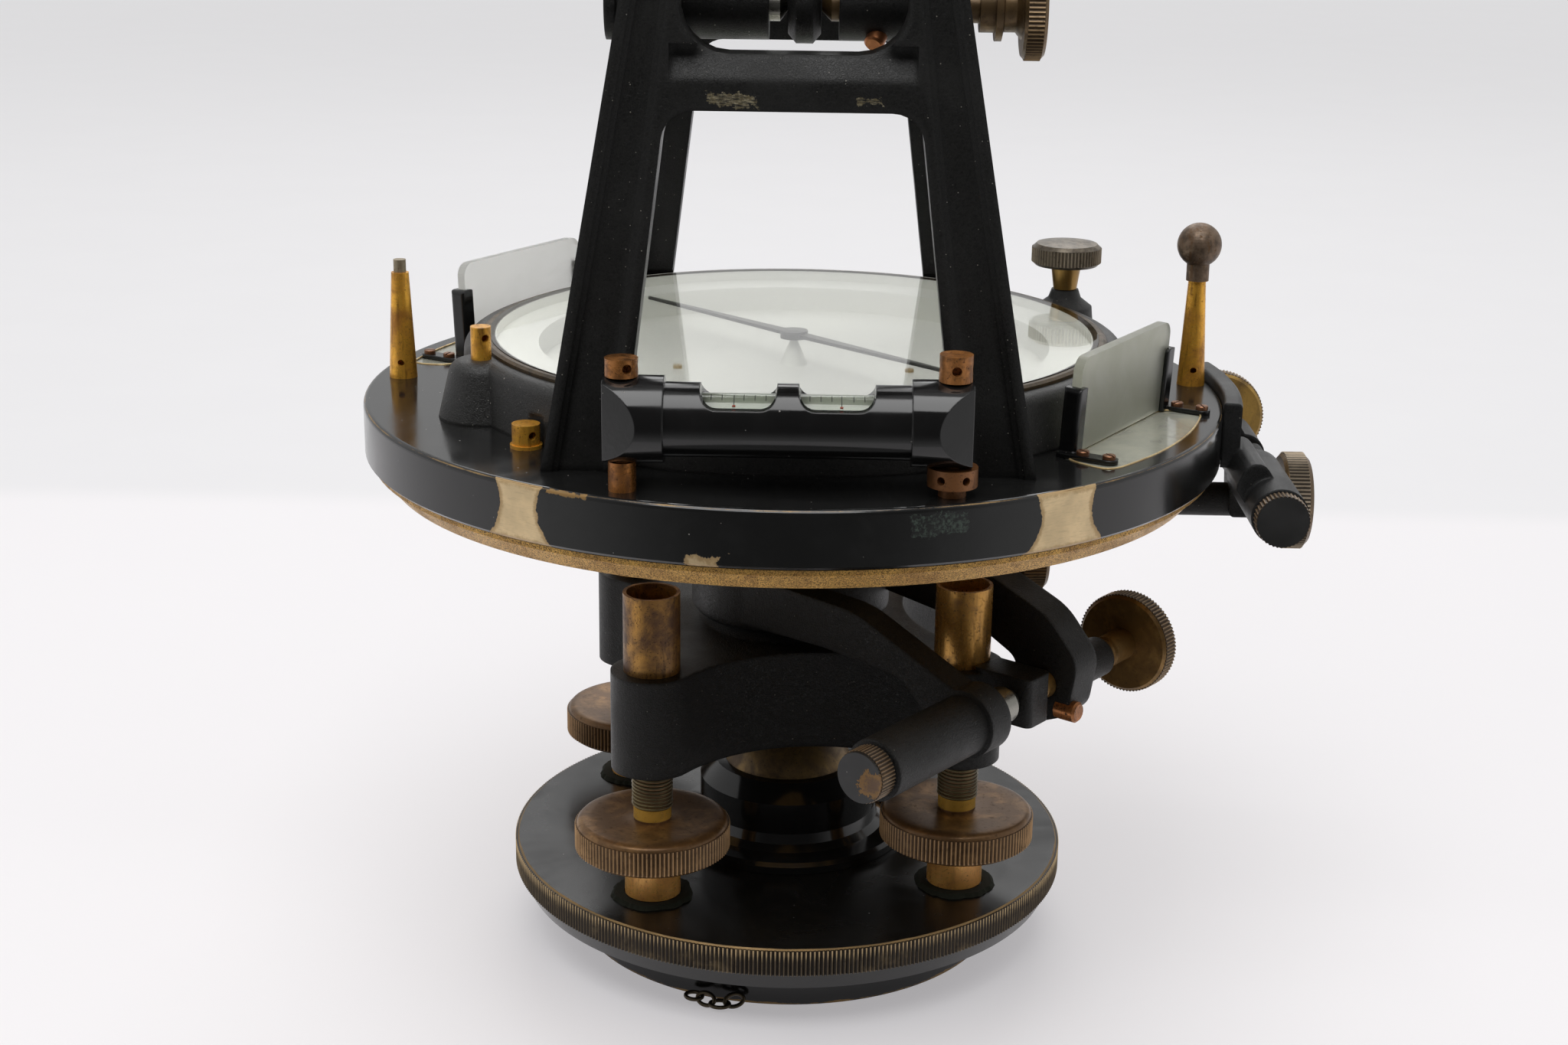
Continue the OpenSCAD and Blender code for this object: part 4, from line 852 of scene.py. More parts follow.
class ThreadTree(Tree):
    """A screw thread about Z from 0 upwards: a helix with a pointed section."""

    name = "thread"
    inputs = {"Turns": 8.0, "Radius": 0.004, "Length": 0.01, "Width": 0.0008}

    def design(self) -> Socket:
        """Builds the nodes and returns the geometry's socket."""
        helix = self.add("GeometryNodeCurveSpiral", Resolution=28, Rotations=self.pin("Turns"),
                         Start_Radius=self.pin("Radius"), End_Radius=self.pin("Radius"),
                         Height=self.pin("Length"))
        square = self.add("GeometryNodeCurvePrimitiveQuadrilateral", Width=self.pin("Width"),
                          Height=self.pin("Width"))
        ridge = self.add("GeometryNodeTransform", Geometry=square, Rotation=(0, 0, math.pi / 4))
        return self.add("GeometryNodeCurveToMesh", Curve=helix, Profile_Curve=ridge, Fill_Caps=True)


class TickTree(Tree):
    """Graduations: thin bars on an arc about Z, each along its radius."""

    name = "ticks"
    inputs = {"Count": 90, "Start": 0.0, "Step": 0.0174533, "Radius": 0.05, "Length": 0.002,
               "Width": 0.0001, "Height": 0.00004}

    def design(self) -> Socket:
        """Builds the nodes and returns the geometry's socket."""
        line = self.add("GeometryNodeMeshLine", Count=self.pin("Count"))
        turn = self.calc("ADD", self.pin("Start"), self.calc(
            "MULTIPLY", self.add("GeometryNodeInputIndex"), self.pin("Step")))
        spot = self.vector(self.calc("MULTIPLY", self.pin("Radius"), self.calc("COSINE", turn)),
                           self.calc("MULTIPLY", self.pin("Radius"), self.calc("SINE", turn)))
        points = self.add("GeometryNodeSetPosition", Geometry=line, Position=spot)
        bar = self.add("GeometryNodeMeshCube", Size=self.vector(
            self.pin("Length"), self.pin("Width"), self.pin("Height")))
        rotation = self.add("FunctionNodeEulerToRotation", Euler=self.vector(z=turn))
        return self.add("GeometryNodeInstanceOnPoints", Points=points, Instance=bar,
                        Rotation=rotation)


class ScrewTree(Tree):
    """Screw heads on points: each stands along its own axis, turned and sized by attributes."""

    name = "screws"
    inputs = {"Head": None}

    def design(self) -> Socket:
        """Builds the nodes and returns the geometry's socket."""
        head = self.add("GeometryNodeObjectInfo", out=4, Object=self.pin("Head"), As_Instance=True)
        way = self.add("GeometryNodeInputNamedAttribute", {"data_type": "FLOAT_VECTOR"}, Name="way")
        turn = self.add("GeometryNodeInputNamedAttribute", {"data_type": "FLOAT"}, Name="turn")
        size = self.add("GeometryNodeInputNamedAttribute", {"data_type": "FLOAT"}, Name="size")
        upright = self.add("FunctionNodeAlignRotationToVector", {"axis": "Z"}, Vector=way)
        spin = self.add("FunctionNodeEulerToRotation", Euler=self.vector(z=turn))
        rotation = self.add("FunctionNodeRotateRotation", {"rotation_space": "LOCAL"},
                            Rotation=upright, Rotate_By=spin)
        return self.add("GeometryNodeInstanceOnPoints", Points=self.source.outputs["Geometry"],
                        Instance=head, Rotation=rotation, Scale=self.vector(size, size, size))


class LineTree(Tree):
    """A thin bead along the edges of the mesh that it starts from."""

    name = "bead"
    inputs = {"Radius": 0.0002}

    def design(self) -> Socket:
        """Builds the nodes and returns the geometry's socket."""
        path = self.add("GeometryNodeMeshToCurve", Mesh=self.source.outputs["Geometry"])
        section = self.add("GeometryNodeCurvePrimitiveCircle", Resolution=6,
                           Radius=self.pin("Radius"))
        return self.add("GeometryNodeCurveToMesh", Curve=path, Profile_Curve=section,
                        Fill_Caps=True)


class ChainTree(Tree):
    """Oval links along the polyline that it starts from, every other one turned on edge."""

    name = "chain"
    inputs = {"Links": 4, "Length": 0.005, "Width": 0.0035, "Wire": 0.0009}

    def design(self) -> Socket:
        """Builds the nodes and returns the geometry's socket."""
        path = self.add("GeometryNodeMeshToCurve", Mesh=self.source.outputs["Geometry"])
        spots = self.add("GeometryNodeResampleCurve", Curve=path, Count=self.pin("Links"))
        wire = self.pin("Wire")
        oval = self.add("GeometryNodeCurvePrimitiveCircle", Resolution=28, Radius=self.calc(
            "MULTIPLY", self.calc("SUBTRACT", self.pin("Length"), wire), 0.5))
        squash = self.calc("DIVIDE", self.calc("SUBTRACT", self.pin("Width"), wire),
                           self.calc("SUBTRACT", self.pin("Length"), wire))
        oval = self.add("GeometryNodeTransform", Geometry=oval, Scale=self.vector(1.0, squash, 1.0))
        section = self.add("GeometryNodeCurvePrimitiveCircle", Resolution=10,
                           Radius=self.calc("MULTIPLY", wire, 0.5))
        link = self.add("GeometryNodeCurveToMesh", Curve=oval, Profile_Curve=section)
        along = self.add("FunctionNodeAlignRotationToVector", {"axis": "X"},
                         Vector=self.add("GeometryNodeInputTangent"))
        odd = self.calc("MODULO", self.add("GeometryNodeInputIndex"), 2.0)
        first_roll, roll_step = 0.12, 0.95
        roll = self.add("FunctionNodeEulerToRotation", Euler=self.vector(
            self.calc("ADD", first_roll, self.calc("MULTIPLY", odd, roll_step))))
        rotation = self.add("FunctionNodeRotateRotation", {"rotation_space": "LOCAL"},
                            Rotation=along, Rotate_By=roll)
        return self.add("GeometryNodeInstanceOnPoints", Points=spots, Instance=link,
                        Rotation=rotation)


def put(name: str, mesh: bpy.types.Mesh) -> bpy.types.Object:
    """Returns a new object at the origin with a mesh."""
    piece = bpy.data.objects.new(name, mesh)
    bpy.context.scene.collection.objects.link(piece)
    return piece


def shell(name: str, build: bmesh.types.BMesh) -> bpy.types.Mesh:
    """Returns a mesh of a bmesh with its doubles merged and its faces outwards."""
    bmesh.ops.remove_doubles(build, verts=build.verts, dist=1e-7)
    bmesh.ops.recalc_face_normals(build, faces=build.faces)
    mesh = bpy.data.meshes.new(name)
    build.to_mesh(mesh)
    build.free()
    return mesh


def join_rings(build: bmesh.types.BMesh, rings: list[list[bmesh.types.BMVert]]) -> None:
    """Joins rings of equally many points by faces, and the last ring to the first."""
    count = len(rings[0])
    for inner, outer in zip(rings, rings[1:] + rings[:1]):
        for k in range(count):
            j = (k + 1) % count
            build.faces.new((inner[k], inner[j], outer[j], outer[k]))


def along(origin: Sequence[float], way: Sequence[float]) -> Matrix:
    """Returns the matrix that takes the Z axis at 0 to an axis from an origin in millimetres."""
    turn = Vector(way).to_track_quat("Z", "Y").to_matrix().to_4x4()
    return Matrix.Translation(Vector(origin) * MM) @ turn


def rounded_bend(start: Vector, corner: Vector, end: Vector, steps: int = 6) -> list[Vector]:
    """Returns points on a smooth bend from start to end that leans towards a corner."""
    shares = [i / steps for i in range(steps + 1)]
    return [start * (1 - t) ** 2 + corner * (2 * t * (1 - t)) + end * t ** 2 for t in shares]


def polyline(name: str, points: Iterable[Sequence[float]], closed: bool) -> bpy.types.Mesh:
    """Returns a mesh of edges through points in millimetres."""
    spots = [tuple(c * MM for c in p) for p in points]
    edges = [(i, i + 1) for i in range(len(spots) - 1)]
    if closed:
        edges.append((len(spots) - 1, 0))
    mesh = bpy.data.meshes.new(name)
    mesh.from_pydata(spots, edges, [])
    return mesh


@dataclass
class Bench:
    """The workbench: the trees, and how a piece is kept and a node is dressed.

    Knurls are sunk a little into their cylinders. The ink of lines and figures has a height and
    is lifted off its face, and em is the size of a font over the height of its figures.
    """

    trees: dict[str, Tree] = field(default_factory=dict)
    screw_head: bpy.types.Object | None = None
    sunk: float = 0.02
    ink: float = 0.03
    lift: float = 0.01
    relief: float = 0.01
    em: float = 1.4

    def __post_init__(self) -> None:
        """Builds the trees and the slotted screw head."""
        for kind in (KnurlTree, ThreadTree, TickTree, ScrewTree, LineTree, ChainTree):
            tree = kind()
            self.trees[tree.name] = tree
        self.screw_head = self.slotted_head()

    def slotted_head(self) -> bpy.types.Object:
        """Builds a slotted cheese head of radius 1 mm, standing on 0, as the screws' pattern."""
        build = bmesh.new()
        half, floor, top, bevel, sides = 0.13, 0.35, 0.62, 0.12, 14
        for side in (1, -1):
            start = math.asin(half)
            turns = [start + (math.pi - 2 * start) * i / sides for i in range(sides + 1)]
            rims = []
            for reach, height in ((1.0, 0.0), (1.0, top - bevel), (1.0 - bevel, top)):
                edge = [build.verts.new((reach * math.cos(t), side * max(reach * math.sin(t), half),
                                         height)) for t in turns]
                rims.append(edge)
            for low, high in zip(rims, rims[1:]):
                for i in range(sides):
                    build.faces.new((low[i], low[i + 1], high[i + 1], high[i]))
            build.faces.new(rims[-1])
            wall = [build.verts.new((rims[0][i].co.x, side * half, floor)) for i in (0, -1)]
            build.faces.new((rims[2][0], rims[2][-1], wall[1], wall[0]))
            for i, foot in zip((0, -1), wall):
                build.faces.new((*(rim[i] for rim in rims), foot))
        x = math.cos(math.asin(half))
        corners, base = [[build.verts.new((*spot, height)) for spot in (
            (x, half), (-x, half), (-x, -half), (x, -half))] for height in (floor, 0)]
        build.faces.new(corners)
        build.faces.new((corners[0], corners[3], base[3], base[0]))
        build.faces.new((corners[1], corners[2], base[2], base[1]))
        mesh = shell("screw_head_pattern", build)
        mesh.transform(Matrix.Scale(MM, 4))
        return bpy.data.objects.new("screw_head_pattern", mesh)

    def dress(self, node: str, finish: Finish) -> None:
        """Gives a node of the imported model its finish."""
        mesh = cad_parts[node].data
        if not mesh.materials:
            mesh.materials.append(finish.material())
        for i in range(len(mesh.materials)):
            mesh.materials[i] = finish.material()

    def keep(self, piece: bpy.types.Object, body: str) -> bpy.types.Object:
        """Makes a piece ride on a body and reports it.

        Args:
            piece: the piece.
            body: the body that it moves with.

        Returns:
            The piece.
        """
        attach(piece, body)
        LOG.info("piece %s on %s, %d faces", piece.name, body, len(piece.data.polygons))
        return piece

    def knurl(self, name: str, body: str, origin: Sequence[float], way: Sequence[float],
              radius: float, length: float, count: int, depth: float, finish: Finish) -> None:
        """Adds a knurled band round a cylinder of the model.

        Args:
            name: the band's name.
            body: the body that it moves with.
            origin: the middle of its first end, in millimetres.
            way: the direction of its axis.
            radius: the cylinder's radius in millimetres.
            length: the band's length in millimetres.
            count: the number of teeth.
            depth: the height of a tooth in millimetres.
            finish: its finish.
        """
        self.keep(self.trees["knurl"].run(
            name, finish, place=along(origin, way), Count=count, Radius=(radius - self.sunk) * MM,
            Length=length * MM, Depth=depth * MM), body)

    def turned(self, name: str, body: str, origin: Sequence[float], way: Sequence[float],
               profile: Sequence[tuple[float, float]], finish: Finish,
               sides: int = 32) -> bpy.types.Object:
        """Adds a small turned piece.

        Args:
            name: the piece's name.
            body: the body that it moves with.
            origin: where its axis starts, in millimetres.
            way: the direction of its axis.
            profile: (distance along the axis, radius) points; it starts and ends on the axis.
            finish: its finish.
            sides: the number of sides.

        Returns:
            The piece.
        """
        build = bmesh.new()
        spots = [build.verts.new((r * MM, 0, t * MM)) for t, r in profile]
        edges = [build.edges.new(pair) for pair in zip(spots, spots[1:])]
        bmesh.ops.spin(build, geom=spots + edges, cent=(0, 0, 0), axis=(0, 0, 1),
                       angle=2 * math.pi, steps=sides, use_merge=True)
        mesh = shell(name, build)
        mesh.transform(along(origin, way))
        mesh.shade_smooth()
        mesh.set_sharp_from_angle(angle=math.radians(SHARP_EDGE))
        mesh.materials.append(finish.material())
        return self.keep(put(name, mesh), body)

    def screws(self, name: str, body: str, spots: Sequence[tuple[Point, Point, float]],
               finish: Finish, slot: Slot = Slot.BRONZE) -> None:
        """Adds slotted screw heads.

        Args:
            name: the piece's name.
            body: the body that they move with.
            spots: each head's place in millimetres, its direction and its radius.
            finish: their finish.
            slot: not used.
        """
        mesh = bpy.data.meshes.new(name + "_spots")
        mesh.from_pydata([tuple(c * MM for c in spot[0]) for spot in spots], [], [])
        for label, kind in (("way", "FLOAT_VECTOR"), ("turn", "FLOAT"), ("size", "FLOAT")):
            mesh.attributes.new(label, kind, "POINT")
        dice = random.Random(name)
        for i, (_, direction, radius) in enumerate(spots):
            mesh.attributes["way"].data[i].vector = Vector(direction).normalized()
            mesh.attributes["turn"].data[i].value = dice.uniform(0, math.pi)
            mesh.attributes["size"].data[i].value = radius
        self.keep(self.trees["screws"].run(name, finish, start=mesh, Head=self.screw_head),
                  body)

    def ticks(self, name: str, body: str, face: Matrix, count: int, radius: float, length: float,
              width: float = 0.12, start: float = 0.0, step: float | None = None) -> None:
        """Adds engraved lines round a circle or along an arc.

        Args:
            name: the piece's name.
            body: the body that they move with.
            face: the plane that they lie on, as a matrix in metres.
            count: the number of lines.
            radius: the distance of their middles from the centre in millimetres.
            length: a line's length in millimetres.
            width: a line's width in millimetres.
            start: the azimuth of the first line in degrees.
            step: the degrees from line to line, by default a full circle's share.
        """
        turn = 360 / count if step is None else step
        piece = self.trees["ticks"].run(
            name, INK, place=face, Count=count, Start=math.radians(start), Step=math.radians(turn),
            Radius=radius * MM, Length=length * MM, Width=width * MM, Height=self.ink * MM)
        self.keep(piece, body)

    def figures(self, name: str, body: str, face: Matrix, radius: float, size: float, turn: float,
                label: Callable[[int], str]) -> None:
        """Adds engraved figures at every ten degrees of a circle, as one thin mesh.

        Args:
            name: the piece's name.
            body: the body that they move with.
            face: the plane that they lie on, as a matrix in metres.
            radius: their distance from the centre in millimetres.
            size: their height in millimetres.
            turn: how far they are turned from their azimuth, in degrees.
            label: the function that gives an azimuth's figure.
        """
        build = bmesh.new()
        for azimuth in range(0, 360, 10):
            place = face @ Matrix.Translation(polar(radius, azimuth, self.lift) * MM) \
                @ Matrix.Rotation(math.radians(azimuth + turn), 4, "Z")
            curve = bpy.data.curves.new("figures", "FONT")
            curve.body, curve.align_x, curve.align_y = label(azimuth), "CENTER", "CENTER"
            curve.size, curve.extrude = size * MM * self.em, self.relief * MM
            curve.resolution_u = 2
            seed = bpy.data.objects.new("figures", curve)
            bpy.context.scene.collection.objects.link(seed)
            graph = bpy.context.evaluated_depsgraph_get()
            mesh = bpy.data.meshes.new_from_object(seed.evaluated_get(graph), depsgraph=graph)
            bpy.data.objects.remove(seed)
            mesh.transform(place)
            build.from_mesh(mesh)
        mesh = bpy.data.meshes.new(name)
        build.to_mesh(mesh)
        build.free()
        mesh.materials.append(INK.material())
        self.keep(put(name, mesh), body)


# Shared finishes

BROWN_KNOB = BronzedBrass(
    "bronzed_knob", base=(0.115, 0.07, 0.03), rubbed=(0.34, 0.21, 0.09), wear=0.45, rough=0.36)
BROWN_KNURL = BronzedBrass(
    "bronzed_knurl", base=(0.06, 0.036, 0.018), rubbed=(0.42, 0.28, 0.14), wear=0.5, knurled=True)
GREY_KNURL = BronzedBrass(
    "greyed_knurl", base=(0.075, 0.062, 0.047), rubbed=(0.5, 0.4, 0.28), wear=0.5, knurled=True)
DARK_KNURL = BronzedBrass(
    "blackened_knurl", base=(0.05, 0.033, 0.02), rubbed=(0.34, 0.235, 0.14), wear=0.4, knurled=True)
DARK_STEEL = PlainMetal("blued_steel", tone=(0.035, 0.034, 0.033), rough=0.34, metal=1.0)
BRIGHT_STEEL = PlainMetal("bright_steel", tone=(0.3, 0.29, 0.26), rough=0.3, metal=1.0)
COPPER = PlainMetal("copper_screws", tone=(0.38, 0.15, 0.06), rough=0.34, metal=0.9, grain=0.5)
OLD_COPPER = AgedBrass(
    "old_copper", bright=(0.5, 0.19, 0.06), dark=(0.12, 0.055, 0.025), speckle=0.5, streaks=0.5,
    shiny=0.3, metal=0.9, lie=0.5)
COPPER_BROWN = PlainMetal("browned_copper", tone=(0.22, 0.1, 0.05), rough=0.36, metal=0.7, grain=0.5)
SILVER = PlainMetal(
    "silvered_face", tone=(0.84, 0.84, 0.8), rough=0.42, metal=0.08, grain=0.12, stain=(0.6, 0.57, 0.48))
INK = GlossLacquer("engraving_black", tone=(0.012, 0.012, 0.012), rough=0.5, dust=0.0)
RED_INK = GlossLacquer("red_ink", tone=(0.3, 0.06, 0.03), rough=0.5, dust=0.0)
GOLD = AgedBrass(
    "golden_brass", bright=(0.62, 0.32, 0.06), dark=(0.2, 0.095, 0.02), speckle=0.12, streaks=0.5,
    shiny=0.26, metal=0.85, lie=0.55)
PALE_BRASS = AgedBrass(
    "pale_brass", bright=(0.8, 0.62, 0.32), dark=(0.34, 0.22, 0.09), speckle=0.12, streaks=0.4,
    shiny=0.26, metal=0.7, lie=0.5)
DULL_BRASS = AgedBrass(
    "dull_brass", bright=(0.2, 0.12, 0.045), dark=(0.075, 0.045, 0.02), speckle=0.15, streaks=0.3,
    shiny=0.36, metal=0.7)
SATIN = CrinkleLacquer(
    "satin_casting", tone=(0.0088, 0.0086, 0.0078), size=0.48, depth=0.11, rough=0.38, dust=0.2, soft=1.3)
PAINTED = CrinkleLacquer(
    "crinkled_casting", tone=(0.0088, 0.0086, 0.0082), size=0.5, depth=0.035, rough=0.38, dust=0.3)
BLACK = GlossLacquer("black_lacquer", tone=(0.0062, 0.006, 0.0058), rough=0.17, dust=0.12)


# Sub-assemblies


@dataclass
class FootPlate:
    """The foot plate, its knurled edge, the shifting centre and the plumb chain.

    A felt's sides are (inset, share of its height) pairs from below. The felts' fray holds the
    depth and the fineness of its waves, and how they differ from one felt to the next.
    """

    radius: float = 62.0
    top: float = 20.2
    knurl_low: float = 14.3
    knurl_high: float = 19.9
    teeth: int = 430
    tooth: float = 0.38
    ring_radius: float = 48.1
    ridge_radius: float = 44.55
    thread_low: float = 1.15
    thread_length: float = 7.6
    thread_turns: float = 2.6
    ridge: float = 1.5
    arm: float = 46.65
    felt_radius: float = 8.8
    felt_hole: float = 6.2
    felt_sides: Outline = ((0.0, 0.0), (0.25, 0.4), (0.7, 1.0))
    fray: tuple[tuple[float, float, float], ...] = ((0.6, 2.6, 5.0), (0.35, 11.0, 3.0))
    link_length: float = 5.0
    link_width: float = 3.5
    wire: float = 0.9
    chain_path: tuple[Point, ...] = ((-18.9, -47.4, 1.2), (-16.0, -49.4, 1.5), (-13.1, -50.4, 0.9),
                                     (-10.2, -49.6, 1.5))

    def build(self, bench: Bench) -> None:
        """Dresses the nodes and adds the knurling, the tripod thread and the chain."""
        edges = (Wear(Surface.RING, (self.radius - 0.2, 0, self.top - 0.2), (0.42, 0, 0), raggedness=0.3),
                 Wear(Surface.RING, (self.ring_radius, 0, 0.2), (0.3, 0, 0)))
        bench.dress("foot_plate", GlossLacquer(
            "foot_lacquer", tone=(0.0072, 0.0066, 0.0058), rough=0.2, dust=0.14, edges=edges))
        bench.dress("shifting_plate", BLACK)
        bench.dress("ball_socket", GlossLacquer(
            "socket_lacquer", tone=(0.009, 0.0088, 0.0085), rough=0.12, dust=0.03))
        bench.dress("half_ball", AgedBrass(
            "ball_brass", bright=(0.3, 0.19, 0.07), dark=(0.1, 0.06, 0.03), speckle=0.3, streaks=0.3,
            shiny=0.34, metal=0.75))
        bench.dress("levelling_shoes", AgedBrass(
            "shoe_brass", bright=(1.0, 0.52, 0.13), dark=(0.72, 0.32, 0.085), speckle=0.34, streaks=0.5,
            shiny=0.25, metal=0.4))
        self.felts(bench)
        knurl = BronzedBrass(
            "foot_knurl", base=(0.02, 0.0135, 0.008), rubbed=(0.68, 0.5, 0.27), wear=0.3, rough=0.38,
            knurled=True, bright_from=17.0, bright_to=19.6, crest_from=0.74)
        bench.knurl("foot_knurling", "foot", (0, 0, self.knurl_low), UP, self.radius,
                    self.knurl_high - self.knurl_low, self.teeth, self.tooth, knurl)
        thread = bench.trees["thread"].run(
            "tripod_thread_ridge", BLACK, Turns=self.thread_turns,
            Radius=self.ridge_radius * MM, Length=self.thread_length * MM,
            Width=self.ridge * MM, place=Matrix.Translation((0, 0, self.thread_low * MM)))
        bench.keep(thread, "foot")
        chain = bench.trees["chain"].run(
            "plumb_bob_chain",
            PlainMetal("chain_bronze", tone=(0.075, 0.058, 0.036), rough=0.36, metal=0.85, grain=0.6),
            start=polyline("chain_path", self.chain_path, False), Links=len(self.chain_path),
            Length=self.link_length * MM, Width=self.link_width * MM, Wire=self.wire * MM)
        lowest = min(v.co.z for v in chain.data.vertices)
        chain.data.transform(Matrix.Translation((0, 0, max(0.0, -lowest))))
        bench.keep(chain, "foot")
        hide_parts("plumb_chain")

    def felts(self, bench: Bench) -> None:
        """Cuts the four worn felts under the shoes, with frayed edges."""
        low, high = (corner[2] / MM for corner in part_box("shoe_felts"))
        build = bmesh.new()
        steps = 72
        for i in range(4):
            centre = polar(self.arm, ARM_AZIMUTH + 90 * i)
            rings = []
            hole = self.felt_hole
            sides = [(-inset, low + share * (high - low)) for inset, share in self.felt_sides]
            for radius, height in ((hole, low), *sides, (hole, high)):
                ring = []
                for k in range(steps):
                    turn = 360 * k / steps
                    spot = polar(1.0, turn)
                    frayed = self.felt_radius + sum(
                        deep * lumps(Vector((spot.x * fine, spot.y * fine, i * apart)))
                        for deep, fine, apart in self.fray)
                    reach = radius if radius == hole else frayed + radius
                    ring.append(build.verts.new((centre + polar(reach, turn, height)) * MM))
                rings.append(ring)
            join_rings(build, rings)
        mesh = shell("worn_felts", build)
        mesh.materials.append(Felt().material())
        felts = bench.keep(put("worn_felts", mesh), "centre")
        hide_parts("shoe_felts")


@dataclass
class LevellingHead:
    """The four-armed head with its screws and dust caps.

    The face holds (rise, inset) pairs of a screw head's upper side, from its rim inwards.
    """

    arm: float = 46.65
    head_radius: float = 16.2
    head_low: float = 31.9
    head_high: float = 37.2
    collar_low: float = 38.6
    teeth: int = 112
    tooth: float = 0.42
    thread_low: float = 41.3
    thread_high: float = 53.2
    shank: float = 4.5
    root: float = 4.1
    pitch: float = 0.82
    ridge: float = 0.5
    screw_top: float = 80.0
    ball: float = 3.4
    ball_height: float = 26.65
    neck: float = 2.6
    neck_low: float = 29.0
    bevel: float = 0.8
    run_out: float = 0.5
    face: tuple[tuple[float, float], ...] = (
        (0.0, 0.0), (0.45, 0.12), (0.85, 0.45), (1.1, 1.0), (1.2, 1.9), (1.15, 3.2), (1.0, 5.0),
        (0.85, 7.0), (0.75, 9.2), (0.75, 11.2), (0.9, 12.1))

    def build(self, bench: Bench) -> None:
        """Dresses the head and caps, and cuts the screws' knurls and threads."""
        bench.dress("levelling_head", SATIN)
        bench.dress("screw_caps", AgedBrass(
            "cap_brass", bright=(0.58, 0.305, 0.07), dark=(0.125, 0.062, 0.028), speckle=0.42,
            streaks=0.7, shiny=0.27, metal=0.85, lie=0.4, brighter_right=0.2))
        top = BronzedBrass(
            "levelling_screw", base=(0.15, 0.078, 0.03), rubbed=(0.42, 0.235, 0.09), wear=0.5, rough=0.38,
            band=(self.collar_low, self.thread_low))
        knurl = BronzedBrass(
            "levelling_knurl", base=(0.08, 0.044, 0.018), rubbed=(0.62, 0.38, 0.18), wear=0.5,
            knurled=True, crest_from=0.45)
        ridge = AgedBrass(
            "screw_thread", bright=(0.2, 0.155, 0.07), dark=(0.085, 0.065, 0.03), speckle=0.2,
            streaks=0.2, shiny=0.34, metal=0.8)
        for i in range(4):
            body = f"screw_{i + 1}"
            spot = polar(self.arm, ARM_AZIMUTH + 90 * i)
            screw = bench.turned(f"turned_screw_{i + 1}", body, (spot.x, spot.y, 0), UP,
                                 self.screw_outline(), top, 64)
            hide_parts(f"level_screw_{i + 1}")
            bench.knurl(f"screw_{i + 1}_knurling", body, (spot.x, spot.y, self.head_low), UP,
                        self.head_radius, self.head_high - self.head_low, self.teeth, self.tooth,
                        knurl)
            length = self.thread_high - self.thread_low
            thread = bench.trees["thread"].run(
                f"screw_{i + 1}_thread", ridge, Turns=length / self.pitch, Radius=self.root * MM,
                Length=length * MM, Width=self.ridge * MM,
                place=Matrix.Translation((spot.x * MM, spot.y * MM, self.thread_low * MM)))
            bench.keep(thread, body)

    def screw_outline(self) -> list[tuple[float, float]]:
        """Returns a levelling screw's (height, radius) points: ball tip, head, collar and shank."""
        tip = [(self.ball_height - self.ball * math.cos(math.radians(a)),
                self.ball * math.sin(math.radians(a))) for a in range(0, 131, 10)]
        head, low, high = self.head_radius, self.head_low, self.head_high
        face = [(high + rise, head - inward) for rise, inward in self.face]
        return tip + [
            (self.neck_low, self.neck), (low - self.bevel, self.neck),
            (low - self.bevel, head - self.bevel), (low, head), *face,
            (self.thread_low - self.run_out, self.root), (self.thread_low, self.root),
            (self.thread_high, self.root), (self.thread_high + self.run_out, self.shank),
            (self.screw_top - 1, self.shank), (self.screw_top, self.shank - 1), (self.screw_top, 0.0)]


